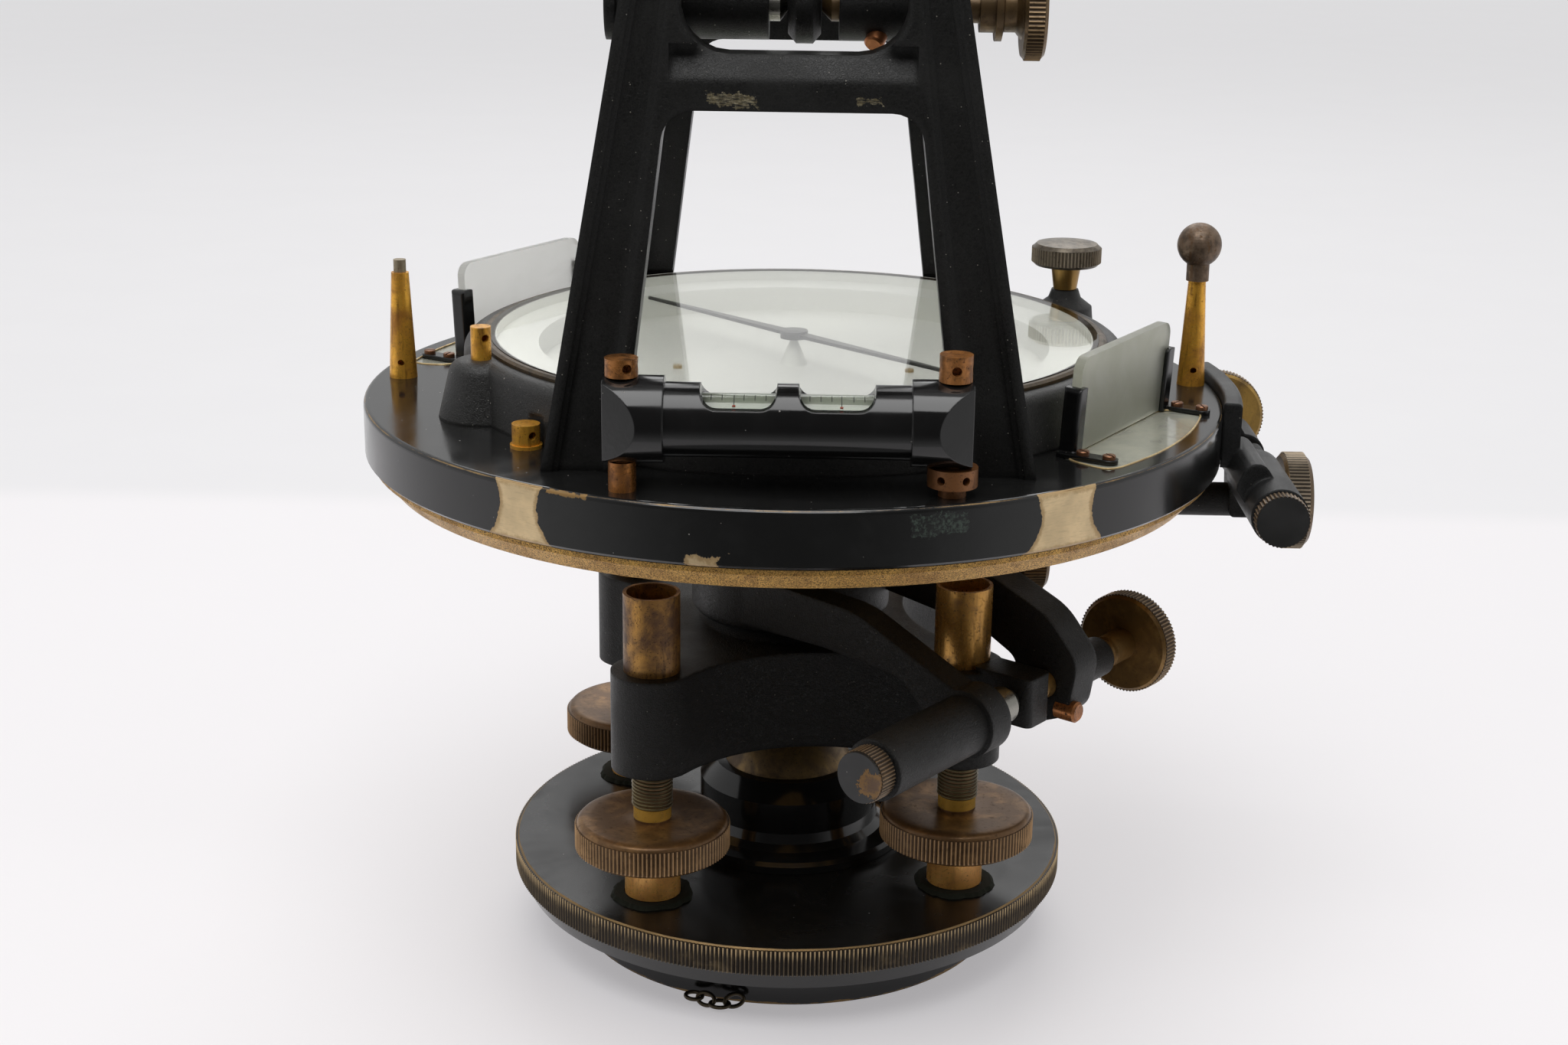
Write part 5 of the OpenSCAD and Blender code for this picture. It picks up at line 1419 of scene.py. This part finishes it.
@dataclass
class LowerMotion:
    """The lower clamp, its fork and the lower tangent screw on the first arm."""

    reach: float = 62.0
    height: float = 68.0
    knob_radius: float = 10.95
    knob_from: float = 41.1
    knob_to: float = 44.9
    cap_radius: float = 5.1
    cap_from: float = -56.4
    cap_to: float = -52.3
    clamp_azimuth: float = 5.0
    clamp_from: float = 51.3
    clamp_length: float = 4.8
    clamp_height: float = 86.0
    clamp_radius: float = 8.5
    gib: Point = (65.0, 10.0, 62.9)
    gib_outline: Outline = ((0, 0), (0, 2.3), (4.5, 2.3), (5.0, 1.8), (5.0, 0))

    def at(self, out: float, side: float, height: float) -> Vector:
        """Returns a point out along the arm, aside along the screw and at a height."""
        turn = math.radians(ARM_AZIMUTH)
        return Vector((out * math.cos(turn) - side * math.sin(turn),
                       out * math.sin(turn) + side * math.cos(turn), height))

    def build(self, bench: Bench) -> None:
        """Dresses the fork and its screws and adds their knurls."""
        screw_way = self.at(0, 1, 0)
        bench.dress("lower_clamp_fork", SATIN)
        chip = (Wear(Surface.BOX, (15.0, -92, 65.0), (19.4, -76, 69.8), raggedness=4.6),)
        bench.dress("lower_spring_cap", GlossLacquer(
            "spring_cap_black", tone=(0.012, 0.012, 0.012), rough=0.3, dust=0.2, worn=chip,
            bare=(0.17, 0.105, 0.065)))
        bench.dress("lower_clamp_screw", BROWN_KNOB)
        bench.dress("lower_tangent_screw", BronzedBrass(
            "tangent_knob", base=(0.19, 0.105, 0.03), rubbed=(0.5, 0.29, 0.09), wear=0.5, rough=0.34))
        bench.dress("lower_plunger", BRIGHT_STEEL)
        bench.knurl("lower_tangent_knurling", "fork_tangent",
                    self.at(self.reach, self.knob_from, self.height), screw_way, self.knob_radius,
                    self.knob_to - self.knob_from, count=84, depth=0.36, finish=BROWN_KNURL)
        bench.knurl("lower_cap_knurling", "fork", self.at(self.reach, self.cap_from, self.height),
                    screw_way, self.cap_radius, self.cap_to - self.cap_from, count=44, depth=0.3,
                    finish=DARK_KNURL)
        out = polar(1, self.clamp_azimuth)
        start = polar(self.clamp_from, self.clamp_azimuth, self.clamp_height)
        bench.knurl("lower_clamp_knurling", "fork_clamp", start, out, self.clamp_radius,
                    self.clamp_length, count=66, depth=0.34, finish=BROWN_KNURL)
        bench.turned("fork_gib_screw", "fork", self.at(*self.gib), self.at(1, 0, 0),
                     self.gib_outline, OLD_COPPER)


@dataclass
class LimbAndPlate:
    """The graduated limb, the vernier plate with its windows, and the reflectors."""

    plate_radius: float = 92.34
    plate_low: float = 112.7
    plate_height: float = 124.06
    scale_radius: float = 88.6
    scale_height: float = 118.5
    window_radius: float = 87.8
    window_side: float = 73.9
    window_from: float = -45.5
    window_to: float = -10.5
    corner: float = 4.0
    facing: float = -31.0
    bead: float = 0.22
    bead_lift: float = 0.02
    line_inset: float = 4.0
    figure_inset: float = 2.4
    vernier_radius: float = 75.6
    vernier_lines: int = 61
    vernier_step: float = 0.4
    reflector_inner: float = 72.5
    reflector_half: float = 21.4
    reflector_shifts: tuple[float, float] = (6.3, 0.2)
    clip_half: float = 1.9
    clip_screws: tuple[float, float] = (4.6, 10.2)
    clip_height: float = 0.9
    screw_radius: float = 1.3

    def patch(self, low: tuple[float, float], high: tuple[float, float], raggedness: float,
              waist: float = 0.0) -> Wear:
        """Returns a worn patch of the rim between two (azimuth, height) corners."""
        return Wear(Surface.RIM_PATCH, (low[0], 0, low[1]), (high[0], 0, high[1]),
                    self.plate_radius, raggedness, waist)

    def outline(self, turn: float) -> list[Vector]:
        """Returns the outline of a window, turned about the vertical axis by degrees."""
        height, span = self.plate_height + self.bead_lift, self.window_to - self.window_from
        near, far = (polar(self.window_side / math.cos(math.radians(a - self.facing)), a + turn, height)
                     for a in (self.window_from, self.window_to))
        inset = math.degrees(self.corner / self.window_radius)
        arc = [polar(self.window_radius, self.window_from + turn + inset
                     + (span - 2 * inset) * i / 28, height) for i in range(29)]
        outer = [polar(self.window_radius, a + turn, height) for a in (self.window_from, self.window_to)]
        near_side = (outer[0] - near).normalized() * self.corner
        far_side = (outer[1] - far).normalized() * self.corner
        straight = (far - near).normalized() * self.corner
        bends = ((near + straight, near, near + near_side), (outer[0] - near_side, outer[0], arc[0]))
        points = [p for bend in bends for p in rounded_bend(*bend)]
        points += arc[1:-1]
        bends = ((arc[-1], outer[1], outer[1] - far_side), (far + far_side, far, far - straight))
        return points + [p for bend in bends for p in rounded_bend(*bend)]

    def build(self, bench: Bench) -> None:
        """Dresses the plates and adds trim, graduations and screws."""
        rim, high = self.plate_radius, self.plate_height
        worn = (self.patch((-127.3, 112.3), (-118.9, 124.2), 1.7, 0.34),
                self.patch((-60.6, 112.4), (-50.0, 124.2), 1.8, 0.28),
                self.patch((-101.8, 111.8), (-97.2, 114.7), 3.4, 0.2))
        edges = (Wear(Surface.RING, (rim, 0, self.plate_low), (0.3, 0, 0)),
                 Wear(Surface.RING, (rim - 0.3, 0, high - 0.2), (0.13, 0, 0)),
                 self.patch((-119.0, 123.2), (-113.6, 123.95), 1.5))
        green = (self.patch((-75.8, 118.6), (-68.8, 122.6), 3.0),)
        bench.dress("vernier_plate", GlossLacquer(
            "plate_lacquer", tone=(0.008, 0.008, 0.0078), rough=0.13, dust=0.3, worn=worn, edges=edges,
            verdigris=green, bare=(0.84, 0.64, 0.37)))
        bench.dress("limb_circle", AgedBrass(
            "limb_brass", bright=(0.84, 0.49, 0.12), dark=(0.5, 0.26, 0.068), speckle=0.8, streaks=0.25,
            shiny=0.34, metal=0.6, lie=0.55, grain=0.45))
        bench.dress("limb_scale", SILVER)
        bench.dress("outer_centre", DULL_BRASS)
        bench.dress("inner_centre", DULL_BRASS)
        bench.dress("verniers", SILVER)
        bench.dress("vernier_windows", FrostedGlass(
            "window_glass", tint=(0.72, 0.72, 0.6), pale=(0.5, 0.5, 0.44), rough=0.1, through=0.55,
            dust=0.35))
        # The left reflector gets a painted backlight of near white.
        bench.dress("reflector_glasses", FrostedGlass(
            "reflector_glass", tint=(0.7, 0.71, 0.58), pale=(0.84, 0.84, 0.74), rough=0.45, through=0.88,
            dust=0.05, left=1.0))
        bench.dress("reflector_clips", GlossLacquer(
            "clip_black", tone=(0.006, 0.006, 0.006), rough=0.2, dust=0.2, soft=0.5))
        for side, turn in (("near", 0.0), ("far", 180.0)):
            path = polyline(f"window_{side}", self.outline(turn), True)
            bead = bench.trees["bead"].run(
                f"window_bead_{side}", PALE_BRASS, start=path, Radius=self.bead * MM)
            bench.keep(bead, "alidade")
        self.graduate(bench)
        self.fasten(bench)

    def graduate(self, bench: Bench) -> None:
        """Cuts the limb's and the verniers' graduations."""
        face = Matrix.Translation((0, 0, (self.scale_height + bench.lift) * MM))
        for name, count, length in (("half_degrees", 720, 1.6), ("degrees", 360, 2.4),
                                    ("five_degrees", 72, 3.3), ("ten_degrees", 36, 4.3)):
            middle = self.scale_radius - self.line_inset - length / 2
            bench.ticks(f"limb_{name}", "limb", face, count, middle, length)
        bench.figures("limb_figures", "limb", face, self.scale_radius - self.figure_inset, 1.7, 90, str)
        middle = (self.window_from + self.window_to) / 2
        first = middle - self.vernier_step * (self.vernier_lines - 1) / 2
        for side, turn in (("near", 0.0), ("far", 180.0)):
            bench.ticks(f"vernier_{side}", "alidade", face, self.vernier_lines, self.vernier_radius,
                        2.4, start=first + turn, step=self.vernier_step)

    def fasten(self, bench: Bench) -> None:
        """Adds the reflector clips' screws."""
        spots = []
        for turn, shift in zip((0.0, 180.0), self.reflector_shifts):
            for side in (-1, 1):
                for out in self.clip_screws:
                    place = Matrix.Rotation(math.radians(turn + self.facing), 4, "Z") @ Vector(
                        (self.reflector_inner + out,
                         shift + side * (self.reflector_half + self.clip_half),
                         self.plate_height + self.clip_height))
                    spots.append((tuple(place), UP, self.screw_radius))
        bench.screws("clip_screws", "alidade", spots, COPPER_BROWN)


@dataclass
class Compass:
    """The compass box with its dial, its lining, needle, glass and lifter."""

    dial_height: float = 133.26
    lining: float = 64.16
    lining_wall: float = 0.2
    lining_low: float = 133.28
    lining_high: float = 135.52
    floor_top: float = 127.88
    line_edge: float = 63.6
    figure_radius: float = 57.2
    lifter: Point = (62.5, 42.7, 144.5)
    lifter_radius: float = 7.8
    lifter_length: float = 3.4
    dial_screw: tuple[float, float] = (24.9, -5.6)

    def build(self, bench: Bench) -> None:
        """Dresses the compass and adds its graduations, figures and the lifter's knurl."""
        bench.dress("compass_box", CrinkleLacquer(
            "box_crinkle", tone=(0.0165, 0.016, 0.015), size=0.55, depth=0.04, rough=0.44, dust=0.5,
            sheen=0.5))
        bench.dress("compass_dial", SILVER)
        bench.dress("glass_ring", AgedBrass(
            "glass_ring_brass", bright=(0.1, 0.065, 0.03), dark=(0.03, 0.02, 0.01), speckle=0.4,
            streaks=0.1, shiny=0.3, metal=0.8))
        bench.dress("compass_glass", ClearGlass())
        bench.dress("compass_needle", DARK_STEEL)
        bench.dress("needle_lifter", AgedBrass(
            "lifter_brass", bright=(0.46, 0.27, 0.07), dark=(0.17, 0.1, 0.03), speckle=0.1, streaks=0.2,
            shiny=0.3, metal=0.85, lie=0.55, split_height=143.6, upper=(0.22, 0.185, 0.14)))
        knurl = BronzedBrass(
            "lifter_knurl", base=(0.11, 0.088, 0.062), rubbed=(0.38, 0.31, 0.22), wear=0.5, knurled=True)
        bench.knurl("lifter_knurling", "lifter", self.lifter, UP, self.lifter_radius,
                    self.lifter_length, count=62, depth=0.28, finish=knurl)
        self.line(bench)
        face = Matrix.Translation((0, 0, (self.dial_height + bench.lift) * MM))
        for name, count, length in (("single", 360, 2.6), ("fives", 72, 3.6), ("tens", 36, 4.6)):
            bench.ticks(f"compass_{name}", "alidade", face, count, self.line_edge - length / 2, length,
                        width=0.16)
        bench.figures("compass_figures", "alidade", face, self.figure_radius, 1.9, -90, quadrant)

    def line(self, bench: Bench) -> None:
        """Adds the silvered lining between dial and glass, and two small screws on the floor."""
        low, high, inside = self.lining_low, self.lining_high, self.lining - self.lining_wall
        rims = ((low, self.lining), (low, inside), (high, inside), (high, self.lining))
        build = bmesh.new()
        steps = 160
        rings = [[build.verts.new(polar(radius, 360 * k / steps, height) * MM) for k in range(steps)]
                 for height, radius in rims]
        join_rings(build, rings)
        mesh = shell("dial_lining", build)
        mesh.materials.append(SILVER.material())
        bench.keep(put("dial_lining", mesh), "alidade")
        x, y = self.dial_screw
        spots = [((side * x, y, self.floor_top), UP, 1.0) for side in (-1, 1)]
        bench.screws("dial_screws", "alidade", spots, PALE_BRASS, Slot.BRASS)


@dataclass
class Standards:
    """The two A-frame standards, their bearing caps, and the posts and studs on the plate."""

    cap_height: float = 297.0
    side: float = 70.0
    depth: float = 10.0
    screw_x: float = 13.4
    screw_radius: float = 2.4

    def build(self, bench: Bench) -> None:
        """Dresses the standards and posts and adds the bearing-cap screws."""
        worn = (Wear(Surface.BOX, (-15.4, -71.5, 193.5), (-6.8, -67.5, 195.7), raggedness=4.2),
                Wear(Surface.BOX, (12.0, -71.5, 194.4), (15.8, -67.5, 195.0), raggedness=3.2))
        near = CrinkleLacquer(
            "standard_crinkle", tone=(0.0088, 0.0086, 0.008), size=0.5, depth=0.03, rough=0.38, dust=0.4,
            worn=worn, soft=2.2)
        bench.dress("standard_near", near)
        bench.dress("standard_far", PAINTED)
        bench.dress("bearing_caps", PAINTED)
        bench.dress("plate_posts", AgedBrass(
            "post_brass", bright=(1.0, 0.52, 0.065), dark=(0.38, 0.155, 0.022), speckle=0.32, streaks=0.8,
            shiny=0.24, metal=0.9, lie=0.5, split_height=147.3, upper=(0.21, 0.145, 0.098),
            left_upper=(0.3, 0.25, 0.17), upper_rough=0.14))
        bench.dress("level_studs", AgedBrass(
            "stud_brass", bright=(0.74, 0.29, 0.07), dark=(0.24, 0.1, 0.035), speckle=0.42, streaks=0.6,
            shiny=0.2, metal=1.1, lie=0.52, split_height=134.0, upper=(0.44, 0.18, 0.05),
            brighter_right=-0.3))
        spots = []
        for side in (-1, 1):
            for x in (-self.screw_x, self.screw_x):
                place = (x, side * (self.side - self.depth / 2), self.cap_height)
                spots.append((place, UP, self.screw_radius))
        bench.screws("bearing_cap_screws", "alidade", spots, COPPER)


@dataclass
class PlateLevel:
    """The plate level's tube, vial and bubble. Its lines are measured in shares of a half turn."""

    out: float = -80.7
    height: float = 137.7
    vial: float = 5.0
    vial_half: float = 25.0
    wall: float = 0.35
    bubble_size: Point = (2.2, 1.7, 1.4)
    bubble_rise: float = 2.6
    marks: tuple[float, ...] = (4, 6, 8, 9.8, 12, 14, 16)
    long_mark: float = 9.8
    line_from: float = 0.55
    short_line: float = 0.11
    long_line: float = 0.20
    dot: float = 0.3

    def build(self, bench: Bench) -> None:
        """Dresses the level and fills its vial."""
        bench.dress("plate_level", GlossLacquer(
            "level_black", tone=(0.0062, 0.006, 0.006), rough=0.115, dust=0.3, soft=0.35))
        bench.dress("plate_vial", ClearGlass("vial_glass", tint=(0.9, 0.94, 0.86), rough=0.02, film=0.03))
        self.back(bench)
        self.bubble(bench)
        self.mark(bench)

    def on_vial(self, x: float, radius: float, turn: float) -> Point:
        """Returns the point in metres at a place along the vial and a turn round it in radians."""
        return (x * MM, (self.out + radius * math.cos(turn)) * MM,
                (self.height + radius * math.sin(turn)) * MM)

    def back(self, bench: Bench) -> None:
        """Adds the pale half round backing under the vial."""
        backing = FrostedGlass(
            "vial_paper", tint=(0.34, 0.36, 0.31), pale=(0.46, 0.46, 0.42), rough=0.5, through=0.0,
            dust=0.0)
        build = bmesh.new()
        turns = [-math.radians(a) for a in range(0, 181, 20)]
        ends = [[build.verts.new(self.on_vial(x, self.vial - self.wall, turn)) for turn in turns]
                for x in (-self.vial_half, self.vial_half)]
        for i in range(len(turns)):
            j = (i + 1) % len(turns)
            build.faces.new((ends[0][i], ends[0][j], ends[1][j], ends[1][i]))
        for end in ends:
            build.faces.new(end)
        mesh = shell("vial_backing", build)
        mesh.materials.append(backing.material())
        bench.keep(put("vial_backing", mesh), "alidade")

    def bubble(self, bench: Bench) -> None:
        """Adds the bubble."""
        build = bmesh.new()
        bmesh.ops.create_uvsphere(build, u_segments=24, v_segments=12, radius=1.0)
        mesh = shell("level_bubble", build)
        mesh.transform(Matrix.Translation((0, self.out * MM, (self.height + self.bubble_rise) * MM))
                       @ Matrix.Diagonal((*(size * MM for size in self.bubble_size), 1)))
        mesh.materials.append(
            ClearGlass("bubble_glass", tint=(0.98, 0.98, 0.95), rough=0.05, film=0.0).material())
        bench.keep(put("level_bubble", mesh), "alidade")

    def mark(self, bench: Bench) -> None:
        """Adds the vial's lines, and a red dot at the foot of each long one."""
        steps = 8
        points, edges, dots = [], [], []
        for x in [side * place for side in (-1, 1) for place in self.marks]:
            start = len(points)
            long_one = abs(x) == self.long_mark
            span = self.long_line if long_one else self.short_line
            points += [self.on_vial(x, self.vial, math.pi * (self.line_from + span * i / steps))
                       for i in range(steps + 1)]
            edges += [(start + i, start + i + 1) for i in range(steps)]
            if long_one:
                dots += [tuple(Vector(points[-1]) + Vector((side * self.dot * MM, 0, 0)))
                         for side in (-1, 1)]
        pairs = [(i, i + 1) for i in range(0, len(dots), 2)]
        for name, finish, spots, joined, radius in (("vial_marks", INK, points, edges, 0.07),
                                                    ("vial_dots", RED_INK, dots, pairs, 0.22)):
            lines = bpy.data.meshes.new(name + "_lines")
            lines.from_pydata(spots, joined, [])
            bead = bench.trees["bead"].run(name, finish, start=lines, Radius=radius * MM)
            bench.keep(bead, "alidade")


@dataclass
class UpperMotion:
    """The upper clamp arm and tangent screw at the plate's edge."""

    screw: Point = (100.0, 42.2, 108.0)
    cap: Point = (100.0, -41.9, 108.0)
    band: float = 3.0
    knob_radius: float = 10.5
    cap_radius: float = 5.3
    clamp: Point = (107.8, 0.0, 100.3)
    clamp_radius: float = 10.3
    clamp_length: float = 4.3

    def build(self, bench: Bench) -> None:
        """Dresses the bracket, arm and screws and adds their knurls."""
        bench.dress("upper_tangent_bracket", CrinkleLacquer(
            "bracket_satin", tone=(0.0125, 0.0125, 0.0125), size=0.5, depth=0.035, rough=0.34, dust=0.2))
        bench.dress("upper_spring_cap", GlossLacquer(
            "cap_satin", tone=(0.014, 0.0138, 0.0132), rough=0.32, dust=0.1))
        bench.dress("upper_clamp_arm", SATIN)
        bench.dress("upper_clamp_screw", BROWN_KNOB)
        bench.dress("upper_tangent_screw", AgedBrass(
            "upper_knob_brass", bright=(0.5, 0.31, 0.08), dark=(0.16, 0.095, 0.03), speckle=0.2,
            streaks=0.3, shiny=0.36, metal=0.8))
        bench.dress("upper_plunger", BRIGHT_STEEL)
        bench.knurl("upper_tangent_knurling", "upper_tangent", self.screw, ASIDE, self.knob_radius,
                    self.band, count=82, depth=0.3, finish=BROWN_KNURL)
        bench.knurl("upper_clamp_knurling", "upper_clamp", self.clamp, OUT, self.clamp_radius,
                    self.clamp_length, count=76, depth=0.38, finish=GREY_KNURL)
        bench.knurl("upper_cap_knurling", "alidade", self.cap, ASIDE, self.cap_radius, self.band,
                    count=40, depth=0.28, finish=DARK_KNURL)


@dataclass
class VerticalMotion:
    """The vertical clamp arm and tangent screw between the standards."""

    screw: Point = (43.2, -45.0, 209.5)
    knob_radius: float = 9.5
    knob_length: float = 3.0
    clamp: Point = (0.0, -45.0, 319.3)
    clamp_radius: float = 9.0
    clamp_length: float = 4.2
    gib: Point = (16.0, -47.0, 205.5)
    gib_way: Point = (-0.30, -0.72, -0.62)
    gib_outline: Outline = ((0, 0), (0, 1.9), (4.2, 1.9), (4.6, 1.5), (4.6, 0))

    def build(self, bench: Bench) -> None:
        """Dresses the bracket, arm and screws and adds their knurls."""
        bench.dress("vertical_tangent_bracket", PAINTED)
        bench.dress("vertical_clamp_arm", PAINTED)
        bench.dress("vertical_clamp_screw", BROWN_KNOB)
        bench.dress("vertical_tangent_screw", BROWN_KNOB)
        bench.dress("vertical_plunger", BRIGHT_STEEL)
        bench.knurl("vertical_tangent_knurling", "vertical_tangent", self.screw, OUT, self.knob_radius,
                    self.knob_length, count=72, depth=0.36, finish=BROWN_KNURL)
        bench.knurl("vertical_clamp_knurling", "vertical_clamp", self.clamp, UP, self.clamp_radius,
                    self.clamp_length, count=70, depth=0.32, finish=BROWN_KNURL)
        bench.turned("bracket_gib_screw", "alidade", self.gib, self.gib_way, self.gib_outline, COPPER)


@dataclass
class Telescope:
    """The telescope, its level, focusing knob, eyepiece and vertical circle."""

    circle_radius: float = 63.5
    circle_face: float = 47.0
    line_inset: float = 0.5
    figure_inset: float = 6.6
    focus: Point = (-62.0, -23.1, AXIS_HEIGHT + 18.2)
    focus_radius: float = 9.0
    focus_length: float = 5.2
    eyepiece: Point = (105.1, 0.0, AXIS_HEIGHT)
    eyepiece_radius: float = 13.4
    eyepiece_length: float = 6.8

    def build(self, bench: Bench) -> None:
        """Dresses the telescope and adds knurls, graduations and figures."""
        bench.dress("telescope_tube", GlossLacquer(
            "tube_lacquer", tone=(0.0062, 0.006, 0.0058), rough=0.2, dust=0.14))
        bench.dress("telescope_level", BLACK)
        bench.dress("telescope_vial", ClearGlass(
            "long_vial_glass", tint=(0.8, 0.86, 0.7), rough=0.03, film=0.03))
        bench.dress("vertical_circle", SILVER)
        bench.dress("objective_slide", AgedBrass(
            "slide_brass", bright=(0.42, 0.26, 0.08), dark=(0.15, 0.09, 0.035), speckle=0.12, streaks=0.2,
            shiny=0.28, metal=0.85))
        bench.dress("objective_lens", ClearGlass(
            "lens_glass", tint=(0.97, 0.97, 0.98), rough=0.0, film=0.02))
        bench.dress("focus_knob", BROWN_KNOB)
        bench.dress("eyepiece_tube", GOLD)
        bench.dress("eyepiece_ring", BROWN_KNOB)
        bench.knurl("focus_knurling", "focus", self.focus, ASIDE, self.focus_radius,
                    self.focus_length, count=70, depth=0.32, finish=BROWN_KNURL)
        bench.knurl("eyepiece_ring_knurling", "eye_ring", self.eyepiece, OUT, self.eyepiece_radius,
                    self.eyepiece_length, count=100, depth=0.34, finish=BROWN_KNURL)
        face = Matrix.Translation((0, (self.circle_face + bench.lift) * MM, AXIS_HEIGHT * MM)) \
            @ Matrix.Rotation(-math.pi / 2, 4, "X")
        for name, count, length in (("halves", 720, 1.8), ("degrees", 360, 2.6), ("tens", 36, 4.2)):
            bench.ticks(f"circle_{name}", "telescope", face, count,
                        self.circle_radius - self.line_inset - length / 2, length)
        bench.figures("circle_figures", "telescope", face, self.circle_radius - self.figure_inset, 1.8,
                      -90, quadrant)


# Studio


@dataclass
class Lamp:
    """A soft box: its place, its size, its strength and the point it faces, in metres and watts."""

    name: str
    place: Point
    size: float
    power: float
    aim: Point = (0.0, 0.0, 0.13)


@dataclass
class Studio:
    """The camera, the pale floor and the soft light.

    The floor reaches some metres, its seam and table edge are places along Y in millimetres, and
    focal and width are pixels of the photograph.
    """

    eye: Point = (0.0056275, -0.496028, 0.247601)
    right: Point = (0.99974864, 0.01856605, 0.01256821)
    up: Point = (-0.01752021, 0.29717825, 0.95466126)
    forward: Point = (-0.01398929, 0.9546415, -0.29742883)
    focal: float = 3059.2
    width: float = 2048.0
    near_floor: Colour = (0.47, 0.46, 0.465)
    near_glow: Colour = (0.365, 0.355, 0.365)
    far_floor: Colour = (0.25, 0.245, 0.25)
    far_glow: Colour = (0.525, 0.522, 0.53)
    reach: float = 6.0
    gap: float = 0.3
    seam: float = 320.0
    seam_soft: float = 14.0
    table_edge: float = -200.0
    sensor: float = 36.0
    backdrop: Colour = (0.83, 0.82, 0.84)
    dark_way: Point = (0.0, -0.97, 0.24)
    sky: float = 0.62
    dark_side: float = 0.07
    lamps: tuple[Lamp, ...] = (
        Lamp("top_box", (-0.10, -0.45, 1.20), 0.9, 11.0),
        Lamp("back_box", (0.05, 1.00, 1.10), 0.9, 6.0),
    )

    def build(self) -> None:
        """Makes the camera, floor, world and lamps."""
        self.camera()
        self.floor()
        self.world()
        for lamp in self.lamps:
            light = bpy.data.lights.new(lamp.name, "AREA")
            light.shape, light.size, light.energy = "SQUARE", lamp.size, lamp.power
            holder = bpy.data.objects.new(lamp.name, light)
            holder.location = lamp.place
            holder.rotation_euler = (Vector(lamp.aim) - Vector(lamp.place)).to_track_quat(
                "-Z", "Y").to_euler()
            holder.visible_camera = False
            bpy.context.scene.collection.objects.link(holder)

    def camera(self) -> None:
        """Makes the camera at the photograph's viewpoint."""
        data = bpy.data.cameras.new("camera")
        data.sensor_width = self.sensor
        data.lens = self.focal / self.width * self.sensor
        data.clip_start = 0.01
        camera = bpy.data.objects.new("camera", data)
        r, u, w, e = self.right, self.up, self.forward, self.eye
        camera.matrix_world = Matrix([(r[i], u[i], -w[i], e[i]) for i in range(3)] + [(0, 0, 0, 1)])
        bpy.context.scene.collection.objects.link(camera)
        bpy.context.scene.camera = camera

    def floor(self) -> None:
        """Makes the pale floor, darker and glowing beyond a soft seam behind the instrument."""
        build = bmesh.new()
        bmesh.ops.create_grid(build, x_segments=4, y_segments=4, size=self.reach)
        mesh = shell("floor", build)
        mesh.transform(Matrix.Translation((0, self.reach + self.table_edge * MM, -self.gap * MM)))
        r = Recipe("floor_paper")
        far = r.split()[1].ramp(self.seam - self.seam_soft, self.seam + self.seam_soft)
        tone = r.blend(far, self.near_floor, self.far_floor)
        tone = r.blend(r.noise(60, 4, 0.6).ramp(0.3, 0.7) * 0.02, tone, (0.6, 0.6, 0.6))
        r.finish(tone, 0.62, 0.0, r.bump(r.noise(0.5, 3), 0.01))
        self.show(r, r.blend(far, self.near_glow, self.far_glow))
        mesh.materials.append(r.material)
        put("floor", mesh)

    def show(self, r: Recipe, extra: Socket) -> None:
        """Adds a little of the floor's own colour for the camera and for reflections."""
        path = r.add("ShaderNodeLightPath")
        seen = Value(r, path.outputs["Is Camera Ray"]) | Value(r, path.outputs["Is Glossy Ray"]) \
            | Value(r, path.outputs["Is Transmission Ray"])
        glow = r.add("ShaderNodeEmission", None, {"Color": r.blend(seen, (0.0, 0.0, 0.0), extra)})
        both = r.add("ShaderNodeAddShader")
        r.links.new(r.shader.outputs[0], both.inputs[0])
        r.links.new(glow.outputs[0], both.inputs[1])
        r.links.new(both.outputs[0], r.output.inputs[0])

    def world(self) -> None:
        """Makes the surroundings: pale all round, darker on the camera's side."""
        world = bpy.data.worlds.new("studio")
        bpy.context.scene.world = world
        world.use_nodes = True
        nodes, links = world.node_tree.nodes, world.node_tree.links
        nodes.clear()

        def add(kind: str, settings: dict[str, Any] | None = None, *values: Any) -> bpy.types.Node:
            """Adds a node with its settings and the values or links of its first sockets."""
            node = nodes.new(kind)
            for key, value in (settings or {}).items():
                setattr(node, key, value)
            for socket, value in zip(node.inputs, values):
                if isinstance(value, Socket):
                    links.new(value, socket)
                elif value is not None:
                    socket.default_value = value
            return node

        way = add("ShaderNodeTexCoord").outputs["Generated"]
        front = add("ShaderNodeVectorMath", {"operation": "DOT_PRODUCT"}, way,
                    self.dark_way).outputs["Value"]
        ramp = add("ShaderNodeMapRange", {"interpolation_type": "SMOOTHSTEP"}, front, 0.35, 0.9,
                   self.sky, self.dark_side).outputs[0]
        path = add("ShaderNodeLightPath")
        light = add("ShaderNodeBackground", None, (1.0, 1.0, 1.0, 1), ramp)
        backdrop = add("ShaderNodeBackground", None, (*self.backdrop, 1), 1.0)
        mixed = add("ShaderNodeMixShader", None, path.outputs["Is Camera Ray"], light.outputs[0],
                    backdrop.outputs[0])
        output = add("ShaderNodeOutputWorld")
        links.new(mixed.outputs[0], output.inputs[0])


def main() -> None:
    """Builds every sub-assembly in order."""
    logging.basicConfig(level=logging.INFO, format="%(name)s: %(message)s")
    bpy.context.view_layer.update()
    bpy.context.scene.view_settings.view_transform = "Standard"
    bench = Bench()
    for part in (FootPlate(), LevellingHead(), LowerMotion(), LimbAndPlate(), Compass(),
                 Standards(), PlateLevel(), UpperMotion(), VerticalMotion(), Telescope()):
        part.build(bench)
        LOG.info("sub-assembly %s is done", type(part).__name__)
    Studio().build()


if __name__ == "__main__":
    main()
